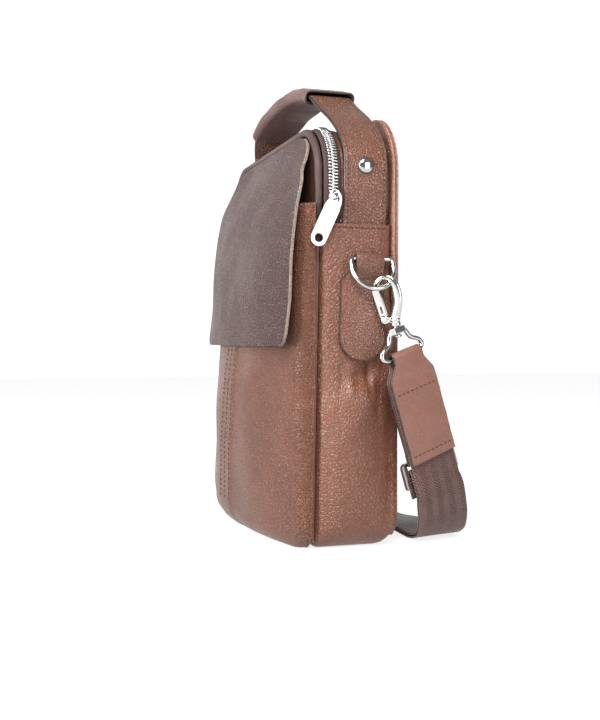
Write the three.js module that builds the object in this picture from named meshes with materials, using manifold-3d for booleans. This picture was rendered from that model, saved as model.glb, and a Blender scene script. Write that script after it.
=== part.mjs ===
// A tall leather shoulder bag that stands on its base, with a flap pocket in front, a zip over the top,
// a carrying handle and a webbing shoulder strap on two swivel hooks.
// Millimetres. X runs across the bag, -Y is its front, Z is up, and the origin is under the base's middle.
import * as THREE from 'three';
import { mergeVertices } from 'three/addons/utils/BufferGeometryUtils.js';
import Module from 'manifold-3d';

const wasm = await Module();
wasm.setup();

// Gaps between pieces that touch on the real bag
const gap = 0.3;
const ringPlay = 0.35;

// Body
const bodyWidth = 229;
const panelWall = 2;
const panelDrop = 66;
const panelCorner = 16;
const seamTop = -24;
const seamBottom = -28;
const backSeam = 24;
const frontEdgeRadius = 5;
const backEdgeRadius = 2.6;
const backBaseRadius = 12;
const sideBulge = 4;
const backThickness = 6;
const backProud = 10;
const backCorner = 40;
const frontWallThickness = 1.6;

// Upper gusset with the zip
const gussetWidth = 222;
const gussetTop = 277;
const gussetCorner = 34;
const gussetWall = 1.6;
const gussetTuck = 14;
const tuckBlend = 14;
const tapeWall = 1;
const tapeBack = -10.3;
const beadRadius = 2.6;
const beadLine = -24.6;
const chainWidth = 6.5;
const chainHeight = 2.2;
const chainLine = -15.6;
const chainRise = 7.5;

// Front pouch and flap
const pouchWidth = 226;
const pouchDrop = 53;
const pouchReach = 33.5;
const pouchWall = 2;
const pouchCorner = 9;
const pouchBaseRadius = 15;
const pouchLift = 0.4;
const flapWidth = 224;
const flapDrop = 145;
const flapReach = 30.2;
const flapWall = 2;
const flapCorner = 9;

// Handle
const handleWidth = 30;
const handleThickness = 2.8;
const handleLine = 6;
const handleTopLine = -4;
const handleRise = 32;
const sleeveLength = 144;
const sleeveWidth = 35;
const sleeveThickness = 9.4;
const sleeveWall = 1.4;
const rivetDiameter = 10;
const rivetHeight = 2;
const rivetDrop = 28;
const rivetY = 5.6;

// Zip slider and pull
const sliderWidth = 9;
const sliderLength = 14;
const sliderPlate = 1.8;
const bridgeHeight = 3.6;
const bridgeTop = 5.2;
const bridgeLength = 4.4;
const bridgeWire = 1.6;
const pullWidth = 10.5;
const pullRim = 1.1;
const pullLength = 33;
const pullThickness = 1.6;
const pullHole = 6;
const pullEye = 5;
const pullLean = 25;
const stopLength = 3;
const stopWidth = 4.6;
const stopHeight = 1.8;

// Ring tabs on the sides
const tabWidth = 30;
const tabFoot = 123;
const tabTop = 183;
const tabThickness = 3.3;
const tabLine = 2;
const loopWidth = 19;
const loopLine = 6.6;
const loopLeather = 1.6;
const ringWire = 3.4;
const ringWidth = 32;
const ringDrop = 23;
const ringLine = 8;
const ringBarZ = 188.4;
const ringTilt = 24;

// Swivel hooks
const hookThickness = 3.8;
const hookRise = 29.1;
const hookTurn = 40;
const hookLean = 11.3;
const hookSlack = 7;
const gateWidth = 4.4;
const gateThickness = 3.4;
const bossRadius = 2.7;
const stirrupWire = 3.2;
const stirrupSpan = 31;
const stirrupShift = 1.2;
const stirrupPlate = 4.4;
const collarDrop = 2.6;
const stirrupRise = 16.3;
const stemDiameter = 3.6;

// Shoulder strap, with how far its leather end stands out, reaches back and hangs above the floor
const fallStand = 11.6;
const fallReach = 67;
const fallHeight = 126.6;
const strapWidth = 38;
const webbing = 1.6;
const layerGap = 0.5;
const strapEndWidth = 25;
const strapEndLength = 70;
const strapEndChamfer = 14;
const strapLeather = 1.8;
const glideWidth = 47;
const glideHeight = 18.5;
const glideDown = 77;
const sewnTail = 16;
const farRingDrop = 9.5;
const glideWire = 2.4;

const deg = Math.PI / 180;
const halfBody = bodyWidth / 2;
const halfGusset = gussetWidth / 2;
const panelTop = gussetTop - panelDrop;
const gussetFoot = panelTop - gussetTuck;
const chainFoot = panelTop + chainRise;
const backRise = gussetTop + backProud;
const pouchTop = gussetTop - pouchDrop;
const flapBottom = gussetTop - flapDrop;
const rivetZ = gussetTop - rivetDrop;
const zipTop = gussetTop + gap + chainHeight;
const up = new THREE.Vector3(0, 0, 1);

// Colours, roughness and metalness of what the bag is made of
const leather = { color: 0x875d4c, roughness: 0.6, metalness: 0 };
const darkLeather = { color: 0x705a56, roughness: 0.62, metalness: 0 };
const strapLeatherLook = { color: 0xa57869, roughness: 0.5, metalness: 0 };
const tapeLook = { color: 0x554648, roughness: 0.85, metalness: 0 };
const webbingLook = { color: 0x695050, roughness: 0.8, metalness: 0 };
const nickel = { color: 0xd8d8d6, roughness: 0.18, metalness: 1 };

const bag = new THREE.Group();

function add(parent, name, geometry, look) {
  const mesh = new THREE.Mesh(geometry, new THREE.MeshStandardMaterial(look));
  mesh.name = name;
  parent.add(mesh);
  return mesh;
}

function clamp01(value) {
  return Math.min(1, Math.max(0, value));
}

function smooth(value) {
  const t = clamp01(value);
  return t * t * (3 - 2 * t);
}

// Value of one column of a table at a position in its first column, eased between the rows
function lookUp(rows, key, column, at) {
  const last = rows.length - 1;
  if (at <= rows[0][key]) return rows[0][column];
  if (at >= rows[last][key]) return rows[last][column];
  const next = rows.findIndex((row) => row[key] > at);
  const a = rows[next - 1];
  const b = rows[next];
  const t = (at - a[key]) / (b[key] - a[key]);
  return a[column] + (b[column] - a[column]) * t;
}

// Only positions are kept, shared corners are merged, and the faces are turned outwards
function closed(geometry) {
  geometry.deleteAttribute('normal');
  geometry.deleteAttribute('uv');
  const merged = mergeVertices(geometry, 1e-4);
  const p = merged.attributes.position;
  const index = merged.index.array;
  const corners = [new THREE.Vector3(), new THREE.Vector3(), new THREE.Vector3()];
  let volume = 0;
  for (let i = 0; i < index.length; i += 3) {
    corners.forEach((corner, k) => corner.fromBufferAttribute(p, index[i + k]));
    volume += corners[0].dot(corners[1].cross(corners[2])) / 6;
  }
  if (volume < 0) {
    for (let i = 0; i < index.length; i += 3) {
      [index[i], index[i + 1]] = [index[i + 1], index[i]];
    }
  }
  merged.computeVertexNormals();
  return merged;
}

function solid(geometry) {
  const merged = closed(geometry.clone());
  return new wasm.Manifold(new wasm.Mesh({
    numProp: 3,
    vertProperties: new Float32Array(merged.attributes.position.array),
    triVerts: new Uint32Array(merged.index.array),
  }));
}

function fromSolid(manifold) {
  const mesh = manifold.getMesh();
  const geometry = new THREE.BufferGeometry();
  geometry.setAttribute('position', new THREE.BufferAttribute(mesh.vertProperties, 3));
  geometry.setIndex(new THREE.BufferAttribute(mesh.triVerts, 1));
  geometry.computeVertexNormals();
  return geometry;
}

function cut(body, ...tools) {
  return fromSolid(tools.reduce((rest, tool) => rest.subtract(solid(tool)), solid(body)));
}

function join(...pieces) {
  return fromSolid(pieces.slice(1).reduce((sum, piece) => sum.add(solid(piece)), solid(pieces[0])));
}

function mapped(geometry, place) {
  const p = geometry.attributes.position;
  for (let i = 0; i < p.count; i += 1) {
    const to = place(p.getX(i), p.getY(i), p.getZ(i));
    p.setXYZ(i, to.x, to.y, to.z);
  }
  return closed(geometry);
}

// A flat outline carried through stations, each placed by place(x, y, station)
function bentSection(points, stations, place) {
  const steps = stations.length - 1;
  const options = { depth: steps, steps, bevelEnabled: false, curveSegments: 1 };
  const geometry = new THREE.ExtrudeGeometry(new THREE.Shape(points), options);
  return mapped(geometry, (x, y, z) => place(x, y, stations[Math.round(z)]));
}

// A sheet: u and v run from 0 to 1 over its face, w from 0 to 1 through its wall
function sheet(across, along, place) {
  const geometry = new THREE.BoxGeometry(1, 1, 1, across, along, 1);
  return mapped(geometry, (x, y, z) => place(x + 0.5, y + 0.5, z + 0.5));
}

// A round wire bent along a closed flat path
function wireRing(path, wire, steps, sides) {
  const geometry = new THREE.TorusGeometry(2, 1, sides, steps);
  return mapped(geometry, (x, y, z) => {
    const turn = Math.atan2(y, x) / (2 * Math.PI);
    const at = clamp01(turn < -1e-9 ? turn + 1 : Math.max(turn, 0));
    const p = path.getPointAt(at);
    const t = path.getTangentAt(at);
    const out = (Math.hypot(x, y) - 2) * wire / 2;
    return new THREE.Vector3(p.x + t.y * out, p.y - t.x * out, z * wire / 2);
  });
}

function evenly(count) {
  return Array.from({ length: count + 1 }, (_, i) => i / count);
}

// Shares of a path's length that divide each of its stretches into the given number of steps
function stationsOf(path, counts) {
  const ends = path.getCurveLengths();
  const total = ends[ends.length - 1];
  const stations = [0];
  counts.forEach((count, i) => {
    const from = i ? ends[i - 1] : 0;
    for (let k = 1; k <= count; k += 1) stations.push((from + (ends[i] - from) * k / count) / total);
  });
  return stations;
}

// Arch from the foot on the right side over the top to the foot on the left
function arch(half, top, radius, foot) {
  const path = new THREE.Path();
  path.moveTo(half, foot);
  path.lineTo(half, top - radius);
  path.absarc(half - radius, top - radius, radius, 0, Math.PI / 2);
  path.lineTo(radius - half, top);
  path.absarc(radius - half, top - radius, radius, Math.PI / 2, Math.PI);
  path.lineTo(-half, foot);
  return path;
}

// Upper gusset: its face dips inwards where the side panel covers it
const strapRest = 1.5 * gap;
const tuckedHalf = halfBody - panelWall - 1.5 * gap - handleThickness - strapRest;

function tuck(z) {
  return (halfGusset - tuckedHalf) * (1 - smooth((z - panelTop - 2) / tuckBlend));
}

function gussetPlace(path) {
  return (y, rise, at) => {
    const p = path.getPointAt(at);
    const t = path.getTangentAt(at);
    const out = rise - tuck(p.y);
    return new THREE.Vector3(p.x + t.y * out, y, p.y - t.x * out);
  };
}

function gussetBand(name, section, foot, look) {
  const path = arch(halfGusset, gussetTop, gussetCorner, foot);
  const stations = stationsOf(path, [6, 6, 2, 6, 6]);
  return add(bag, name, bentSection(section, stations, gussetPlace(path)), look);
}

function rectangle(x0, x1, y0, y1) {
  return [
    new THREE.Vector2(x0, y0),
    new THREE.Vector2(x1, y0),
    new THREE.Vector2(x1, y1),
    new THREE.Vector2(x0, y1),
  ];
}

function makeGusset() {
  const strip = rectangle(tapeBack + gap, backSeam - gap, -gussetWall, 0);
  gussetBand('gusset_strip', strip, gussetFoot, leather);
  const tape = [new THREE.Vector2(tapeBack, 0)];
  for (let angle = 90; angle <= 300; angle += 30) {
    const y = beadLine + beadRadius * Math.cos(angle * deg);
    tape.push(new THREE.Vector2(y, beadRadius * (Math.sin(angle * deg) - 1)));
  }
  tape.push(new THREE.Vector2(beadLine + beadRadius, -tapeWall));
  tape.push(new THREE.Vector2(tapeBack, -tapeWall));
  gussetBand('zip_tape', tape, panelTop, tapeLook);
  const half = chainWidth / 2;
  const chain = rectangle(chainLine - half, chainLine + half, gap, gap + chainHeight);
  gussetBand('zip_chain', chain, chainFoot, nickel);
}

// Side and base panel: a U-shaped band with rounded edges that turn in to the seams
function seam(z) {
  return seamBottom + (seamTop - seamBottom) * clamp01(z / pouchTop);
}

// Stands for how far the side swells, and for the dent under the ring tab
const swell = [
  { z: 0, out: 0 },
  { z: 0.14, out: 0.55 },
  { z: 0.33, out: 1 },
  { z: 0.44, out: 0.6 },
  { z: 0.52, out: 0 },
];
const dent = { y: 0.68, z: 0.53, spread: 0.04, depth: 0.35 };

function sideOut(y, z) {
  const across = clamp01((y - seam(z)) / (backSeam - seam(z)));
  const level = z / panelTop;
  const full = sideBulge * lookUp(swell, 'z', 'out', level) * Math.sin(Math.PI * across) ** 1.3;
  const away = (across - dent.y) ** 2 + (level - dent.z) ** 2;
  return full - sideBulge * dent.depth * Math.exp(-away / dent.spread ** 2);
}

function makeSidePanel() {
  const path = new THREE.Path();
  path.moveTo(halfBody, panelTop);
  path.lineTo(halfBody, panelCorner);
  path.absarc(halfBody - panelCorner, panelCorner, panelCorner, 0, -Math.PI / 2, true);
  path.lineTo(panelCorner - halfBody, 0);
  path.absarc(panelCorner - halfBody, panelCorner, panelCorner, -Math.PI / 2, -Math.PI, true);
  path.lineTo(-halfBody, panelTop);
  const stations = stationsOf(path, [10, 3, 2, 3, 10]);
  const edge = 3;
  const middle = 5;
  const rows = 2 * edge + middle;
  const panel = sheet(rows, stations.length - 1, (u, v, w) => {
    const at = stations[Math.round(v * (stations.length - 1))];
    const p = path.getPointAt(at);
    const t = path.getTangentAt(at);
    const normal = new THREE.Vector2(-t.y, t.x);
    const sideways = Math.abs(normal.x);
    const back = backEdgeRadius + (backBaseRadius - backEdgeRadius) * (1 - sideways);
    const front = seam(p.y) + gap;
    const end = backSeam - gap;
    const row = Math.round(u * rows);
    let y = 0;
    let out = 0;
    if (row < edge) {
      const angle = row / edge * Math.PI / 2;
      const radius = frontEdgeRadius - panelWall * w;
      y = front + frontEdgeRadius - radius * Math.cos(angle);
      out = radius * Math.sin(angle) - frontEdgeRadius;
    } else if (row > rows - edge) {
      const angle = (rows - row) / edge * Math.PI / 2;
      const radius = back - panelWall * w;
      y = end - back + radius * Math.cos(angle);
      out = radius * Math.sin(angle) - back;
    } else {
      const share = (row - edge) / middle;
      y = front + frontEdgeRadius + share * (end - back - front - frontEdgeRadius);
      out = -panelWall * w;
    }
    out += sideOut(y, p.y) * sideways ** 4;
    return new THREE.Vector3(p.x + normal.x * out, y, p.y + normal.y * out);
  });
  add(bag, 'side_base_panel', panel, leather);
}

// Padded back panel, upright and round at the top corners
function makeBackPanel() {
  const bevel = 2;
  const half = halfBody - bevel;
  const foot = backBaseRadius - backEdgeRadius;
  const shape = new THREE.Shape();
  shape.moveTo(-half + foot, bevel + 1);
  shape.lineTo(half - foot, bevel + 1);
  shape.absarc(half - foot, bevel + 1 + foot, foot, -Math.PI / 2, 0);
  shape.lineTo(half, backRise - backCorner - bevel);
  shape.absarc(half - backCorner, backRise - backCorner - bevel, backCorner, 0, Math.PI / 2);
  shape.lineTo(backCorner - half, backRise - bevel);
  shape.absarc(backCorner - half, backRise - backCorner - bevel, backCorner, Math.PI / 2, Math.PI);
  shape.lineTo(-half, bevel + 1 + foot);
  shape.absarc(-half + foot, bevel + 1 + foot, foot, Math.PI, 1.5 * Math.PI);
  const options = {
    depth: backThickness - 2 * bevel,
    bevelThickness: bevel,
    bevelSize: bevel,
    bevelSegments: 1,
    curveSegments: 7,
  };
  const geometry = new THREE.ExtrudeGeometry(shape, options);
  geometry.rotateX(Math.PI / 2);
  geometry.translate(0, backSeam + backThickness - bevel, 0);
  add(bag, 'back_panel', closed(geometry), leather);
}

// Front wall of the main compartment, behind the pouch and under the bead of the zip tape
function makeFrontWall() {
  const inset = 2 * beadRadius + 2 * gap;
  const half = halfGusset - inset;
  const narrow = tuckedHalf - inset;
  const wide = halfBody - frontEdgeRadius - gap;
  const top = gussetTop - inset;
  const radius = gussetCorner - inset;
  const step = panelTop - 2 * beadRadius;
  const shoulder = panelTop + 2 + tuckBlend;
  const foot = frontEdgeRadius + gap;
  const shape = new THREE.Shape();
  shape.moveTo(-wide, foot);
  shape.lineTo(wide, foot);
  shape.lineTo(wide, step - 4);
  shape.lineTo(narrow, step);
  shape.lineTo(narrow, shoulder);
  shape.lineTo(half, shoulder + 4);
  shape.lineTo(half, top - radius);
  shape.absarc(half - radius, top - radius, radius, 0, Math.PI / 2);
  shape.lineTo(radius - half, top);
  shape.absarc(radius - half, top - radius, radius, Math.PI / 2, Math.PI);
  shape.lineTo(-half, shoulder + 4);
  shape.lineTo(-narrow, shoulder);
  shape.lineTo(-narrow, step);
  shape.lineTo(-wide, step - 4);
  const options = { depth: frontWallThickness, bevelEnabled: false, curveSegments: 6 };
  const wall = mapped(new THREE.ExtrudeGeometry(shape, options), (x, y, z) => (
    new THREE.Vector3(x, seam(y) - z, y)
  ));
  add(bag, 'front_wall', wall, leather);
}

// Depth of the pouch in front of the seam at its sides and its middle, as shares of its reach, by height
const pouchDepth = [
  { z: 0, side: 0.388, middle: 0.955 },
  { z: 0.07, side: 0.397, middle: 0.985 },
  { z: 0.2, side: 0.418, middle: 1 },
  { z: 0.4, side: 0.448, middle: 0.985 },
  { z: 0.6, side: 0.463, middle: 0.866 },
  { z: 0.71, side: 0.469, middle: 0.8 },
  { z: 0.85, side: 0.478, middle: 0.699 },
  { z: 0.93, side: 0.457, middle: 0.597 },
  { z: 1, side: 0.424, middle: 0.496 },
];

// Outline of the pouch at one height; turn runs from -1 at the left seam to 1 at the right one
function pouchPoint(turn, z, inset) {
  const level = z / pouchTop;
  const round = pouchBaseRadius - inset;
  const below = clamp01((pouchBaseRadius - z) / round);
  const drawn = round * (1 - Math.sqrt(1 - below ** 2)) + inset;
  const half = pouchWidth / 2 - drawn;
  const back = Math.min(seam(z) - frontWallThickness, beadLine - beadRadius) - gap;
  const sunk = inset + (drawn - inset) * 0.25;
  const side = pouchReach * lookUp(pouchDepth, 'z', 'side', level) - sunk + back - seam(z);
  const middle = pouchReach * lookUp(pouchDepth, 'z', 'middle', level) - drawn + back - seam(z);
  const corner = Math.min(pouchCorner, side - 1);
  const t = Math.abs(turn);
  const sign = Math.sign(turn);
  if (t > 0.85) {
    const share = (t - 0.85) / 0.15;
    const swellOut = 1.2 * Math.sin(Math.PI * share);
    return new THREE.Vector2(sign * (half + swellOut - 1.2), back - (side - corner) * (1 - share));
  }
  if (t > 0.65) {
    const angle = (t - 0.65) / 0.2 * Math.PI / 2;
    const x = half - 1.2 - corner + corner * Math.sin(angle);
    return new THREE.Vector2(sign * x, back - side + corner - corner * Math.cos(angle));
  }
  const x = (half - 1.2 - corner) * t / 0.65;
  const bulge = (middle - side) * (1 - (t / 0.65) ** 2.4);
  return new THREE.Vector2(sign * x, back - side - bulge);
}

function pouchSolid(inset, levels, beyond) {
  const side = [0.65, 0.72, 0.78, 0.85, 0.92, 1];
  const front = [-0.5, -0.33, -0.16, 0, 0.16, 0.33, 0.5];
  const turns = [...side.map((turn) => -turn).reverse(), ...front, ...side];
  const outline = turns.map((turn) => new THREE.Vector2(turn, turn * turn));
  if (beyond) outline.push(new THREE.Vector2(1, 2), new THREE.Vector2(-1, 2));
  return bentSection(outline, levels, (turn, mark, z) => {
    const p = pouchPoint(turn, Math.min(z, pouchTop), inset);
    return new THREE.Vector3(p.x, mark > 1.5 ? p.y + beyond : p.y, z);
  });
}

function makePouch() {
  const heights = [0.012, 0.03, 0.06, 0.14, 0.25, 0.38, 0.5, 0.62, 0.74, 0.86];
  const rows = heights.map((share) => share * pouchTop);
  const outer = pouchSolid(0, [pouchLift, ...rows, pouchTop], 0);
  const beyond = 2 * pouchWall;
  const inner = pouchSolid(pouchWall, [pouchLift + pouchWall, ...rows.slice(1), pouchTop + beyond], beyond);
  add(bag, 'front_pouch', cut(outer, inner), darkLeather);
}

// How far the flap's inner face stands in front of the seam at its edges and its middle, from the top down
const flapStand = [
  { down: 0, side: 0.066, middle: 0.066 },
  { down: 0.05, side: 0.093, middle: 0.119 },
  { down: 0.12, side: 0.199, middle: 0.265 },
  { down: 0.18, side: 0.318, middle: 0.397 },
  { down: 0.28, side: 0.43, middle: 0.53 },
  { down: 0.35, side: 0.497, middle: 0.609 },
  { down: 0.45, side: 0.553, middle: 0.702 },
  { down: 0.58, side: 0.603, middle: 0.815 },
  { down: 0.8, side: 0.629, middle: 0.924 },
  { down: 1, side: 0.728, middle: 1 },
];

function makeFlap() {
  const inset = 2 * beadRadius + gap;
  const radius = gussetCorner - inset;
  const top = gussetTop - inset;
  const tall = top - flapBottom;
  const across = 11;
  const along = 15;
  const flap = sheet(across, along, (u, v, w) => {
    const down = v ** 0.9;
    const side = 2 * u - 1;
    const level = top - down * tall;
    const wide = flapWidth / 2;
    const narrow = halfGusset - inset;
    const above = clamp01((level - (top - radius)) / radius);
    const archHalf = narrow - radius * (1 - Math.sqrt(Math.max(0, 1 - above ** 2)));
    const blend = smooth(clamp01((level - (top - 1.25 * radius)) / radius * 2.2));
    const fromBottom = level - flapBottom;
    const low = clamp01((flapCorner - fromBottom) / flapCorner);
    const rounded = wide - flapCorner * (1 - Math.sqrt(1 - low ** 2));
    const half = blend * archHalf + (1 - blend) * rounded;
    const x = side * half;
    const edge = flapReach * lookUp(flapStand, 'down', 'side', down);
    const middle = flapReach * lookUp(flapStand, 'down', 'middle', down);
    const stand = edge + (middle - edge) * (1 - Math.abs(side) ** 2.4);
    return new THREE.Vector3(x, seam(level) - stand - flapWall * w, level);
  });
  add(bag, 'flap', flap, darkLeather);
}

// Handle: it follows the gusset up each side and then rises freely to the sleeve
const handleRows = [
  { side: 0.952, rise: -0.47 },
  { side: 0.9, rise: -0.2 },
  { side: 0.822, rise: 0.1 },
  { side: 0.71, rise: 0.42 },
  { side: 0.6, rise: 0.7 },
  { side: 0.31, rise: 0.94 },
];

function handleCurve() {
  const rest = strapRest + handleThickness / 2;
  const feet = [gussetFoot, panelTop - 1, panelTop + tuckBlend + 4, rivetZ - 8, rivetZ + 6];
  const right = feet.map((z) => new THREE.Vector3(halfGusset - tuck(z) + rest, handleLine, z));
  handleRows.forEach((row) => {
    const drift = smooth((1 - row.side) / 0.4);
    const y = handleLine + (handleTopLine - handleLine) * drift;
    right.push(new THREE.Vector3(row.side * halfBody, y, zipTop + row.rise * handleRise));
  });
  const left = right.map((p) => new THREE.Vector3(-p.x, p.y, p.z)).reverse();
  const crown = new THREE.Vector3(0, handleTopLine, zipTop + handleRise);
  return new THREE.CatmullRomCurve3([...right, crown, ...left], false, 'centripetal');
}

// Outer face of the handle strap at a height on the right side
function handleFaceAt(z) {
  const curve = handleCurve();
  let at = 0;
  while (curve.getPointAt(at).z < z) at += 0.001;
  return curve.getPointAt(at).x + handleThickness / 2;
}

function handlePlace(curve) {
  return (across, rise, at) => {
    const p = curve.getPointAt(clamp01(at));
    const t = curve.getTangentAt(clamp01(at));
    const length = Math.hypot(t.x, t.z);
    return new THREE.Vector3(p.x + t.z / length * rise, p.y + across, p.z - t.x / length * rise);
  };
}

function sleeveSection(width, thickness) {
  const radius = thickness / 2;
  const points = [];
  for (let angle = -90; angle <= 90; angle += 30) {
    const x = width / 2 - radius + radius * Math.cos(angle * deg);
    points.push(new THREE.Vector2(x, radius * Math.sin(angle * deg)));
  }
  return [...points, ...points.map((p) => new THREE.Vector2(-p.x, -p.y))];
}

function makeHandle() {
  const curve = handleCurve();
  const place = handlePlace(curve);
  const half = handleWidth / 2;
  const thick = handleThickness / 2;
  const edge = 0.7;
  const section = [
    new THREE.Vector2(-half + edge, -thick),
    new THREE.Vector2(half - edge, -thick),
    new THREE.Vector2(half, 0),
    new THREE.Vector2(half - edge, thick),
    new THREE.Vector2(-half + edge, thick),
    new THREE.Vector2(-half, 0),
  ];
  add(bag, 'handle_strap', bentSection(section, evenly(42), place), leather);
  const share = sleeveLength / curve.getLength() / 2;
  const spread = (length) => evenly(9).map((at) => 0.5 + (at * 2 - 1) * share * length);
  const outer = sleeveSection(sleeveWidth, sleeveThickness);
  const inner = sleeveSection(sleeveWidth - 2 * sleeveWall, sleeveThickness - 2 * sleeveWall);
  const sleeve = cut(bentSection(outer, spread(1), place), bentSection(inner, spread(1.03), place));
  add(bag, 'grip_sleeve', sleeve, darkLeather);
}

function mirroredPoint(p) {
  return new THREE.Vector3(-p.x, p.y, p.z);
}

// The same fittings on the left side, as their mirror image
function mirrored(node) {
  const copy = node.isMesh ? new THREE.Mesh(closed(node.geometry.clone().scale(-1, 1, 1)), node.material.clone())
    : new THREE.Group();
  copy.name = node.name.replace('_right', '_left');
  copy.position.copy(mirroredPoint(node.position));
  const q = node.quaternion;
  copy.quaternion.set(q.x, -q.y, -q.z, q.w);
  node.children.forEach((child) => copy.add(mirrored(child)));
  return copy;
}

function makeRivet(side) {
  const points = [new THREE.Vector2(0, 0), new THREE.Vector2(rivetDiameter / 2 - 0.4, 0)];
  points.push(new THREE.Vector2(rivetDiameter / 2, 0.5));
  for (let angle = 20; angle <= 90; angle += 23.33) {
    const r = rivetDiameter / 2 * Math.cos(angle * deg);
    points.push(new THREE.Vector2(Math.max(0, r), 0.5 + (rivetHeight - 0.5) * Math.sin(angle * deg)));
  }
  points[points.length - 1].x = 0;
  const dome = closed(new THREE.LatheGeometry(points, 12));
  const mesh = add(side, 'rivet_right', dome, nickel);
  mesh.rotation.z = -Math.PI / 2;
  mesh.position.set(handleFaceAt(rivetZ) + gap, rivetY, rivetZ);
}

function basis(x, y) {
  const right = x.clone().normalize();
  const upward = y.clone().sub(right.clone().multiplyScalar(y.dot(right))).normalize();
  return new THREE.Matrix4().makeBasis(right, upward, right.clone().cross(upward));
}

// Leather tab on the side panel, with the loop that holds the ring's straight bar
function makeRingTab(side) {
  const face = halfBody + gap;
  const half = tabWidth / 2;
  const neck = loopWidth / 2;
  const neckLine = loopLine - tabLine;
  const shape = new THREE.Shape();
  shape.moveTo(-half, tabFoot + half);
  shape.absarc(0, tabFoot + half, half, Math.PI, 2 * Math.PI);
  shape.lineTo(half, tabTop - 7);
  shape.lineTo(neckLine + neck, tabTop);
  shape.lineTo(neckLine - neck, tabTop);
  shape.lineTo(-half + 1, tabTop - 9);
  const plate = new THREE.ExtrudeGeometry(shape, { depth: tabThickness, bevelEnabled: false, curveSegments: 10 });
  plate.applyMatrix4(new THREE.Matrix4().makeBasis(new THREE.Vector3(0, 1, 0), up, new THREE.Vector3(1, 0, 0)));
  plate.translate(face, tabLine, 0);
  const bore = ringWire / 2 + gap;
  const shell = bore + loopLeather;
  const barX = face + shell;
  const fold = new THREE.Shape();
  fold.moveTo(face, ringBarZ);
  fold.absarc(barX, ringBarZ, shell, Math.PI, 0, true);
  fold.lineTo(face + tabThickness + 1, ringBarZ - 9.5);
  fold.lineTo(face, ringBarZ - 9.5);
  const hole = new THREE.Path();
  hole.absarc(barX, ringBarZ, bore + 0.1, 0, 2 * Math.PI);
  fold.holes.push(hole);
  const loop = new THREE.ExtrudeGeometry(fold, { depth: loopWidth, bevelEnabled: false, curveSegments: 8 });
  loop.applyMatrix4(new THREE.Matrix4().makeBasis(new THREE.Vector3(1, 0, 0), up, new THREE.Vector3(0, -1, 0)));
  loop.translate(0, loopLine + neck, 0);
  add(side, 'ring_tab_right', join(plate, loop), leather);
  makeRing(side, barX);
}

function makeRing(side, barX) {
  const half = (ringWidth - ringWire) / 2;
  const corner = 2.5;
  const straight = 6;
  const path = new THREE.Path();
  path.moveTo(0, 0);
  path.lineTo(half - corner, 0);
  path.absarc(half - corner, -corner, corner, Math.PI / 2, 0, true);
  path.lineTo(half, -straight);
  path.absellipse(0, -straight, half, ringDrop - ringWire / 2 - straight, 0, Math.PI, true);
  path.lineTo(-half, -corner);
  path.absarc(corner - half, -corner, corner, Math.PI, Math.PI / 2, true);
  path.lineTo(0, 0);
  const ring = add(side, 'd_ring_right', wireRing(path, ringWire, 32, 6), nickel);
  ring.position.set(barX, ringLine, ringBarZ);
  const tilt = ringTilt * deg;
  const width = new THREE.Vector3(0, 1, 0);
  ring.setRotationFromMatrix(basis(width, new THREE.Vector3(-Math.sin(tilt), 0, Math.cos(tilt))));
}

// Hook in its own plane, as shares of its rise: x is towards its back, y runs up from the swivel's collar
const hookRows = [
  { x: 0, y: 0.0344, half: 0.11 },
  { x: 0.0412, y: 0.1718, half: 0.11 },
  { x: 0.1237, y: 0.4055, half: 0.0997 },
  { x: 0.134, y: 0.6357, half: 0.1031 },
  { x: 0.1031, y: 0.8351, half: 0.0928 },
  { x: 0, y: 0.9828, half: 0.0722 },
  { x: -0.1718, y: 1, half: 0.0653 },
  { x: -0.2955, y: 0.921, half: 0.0653 },
  { x: -0.3505, y: 0.811, half: 0.0687 },
];
const pivot = { x: -0.2234 * hookRise, y: 0.0722 * hookRise };

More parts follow.
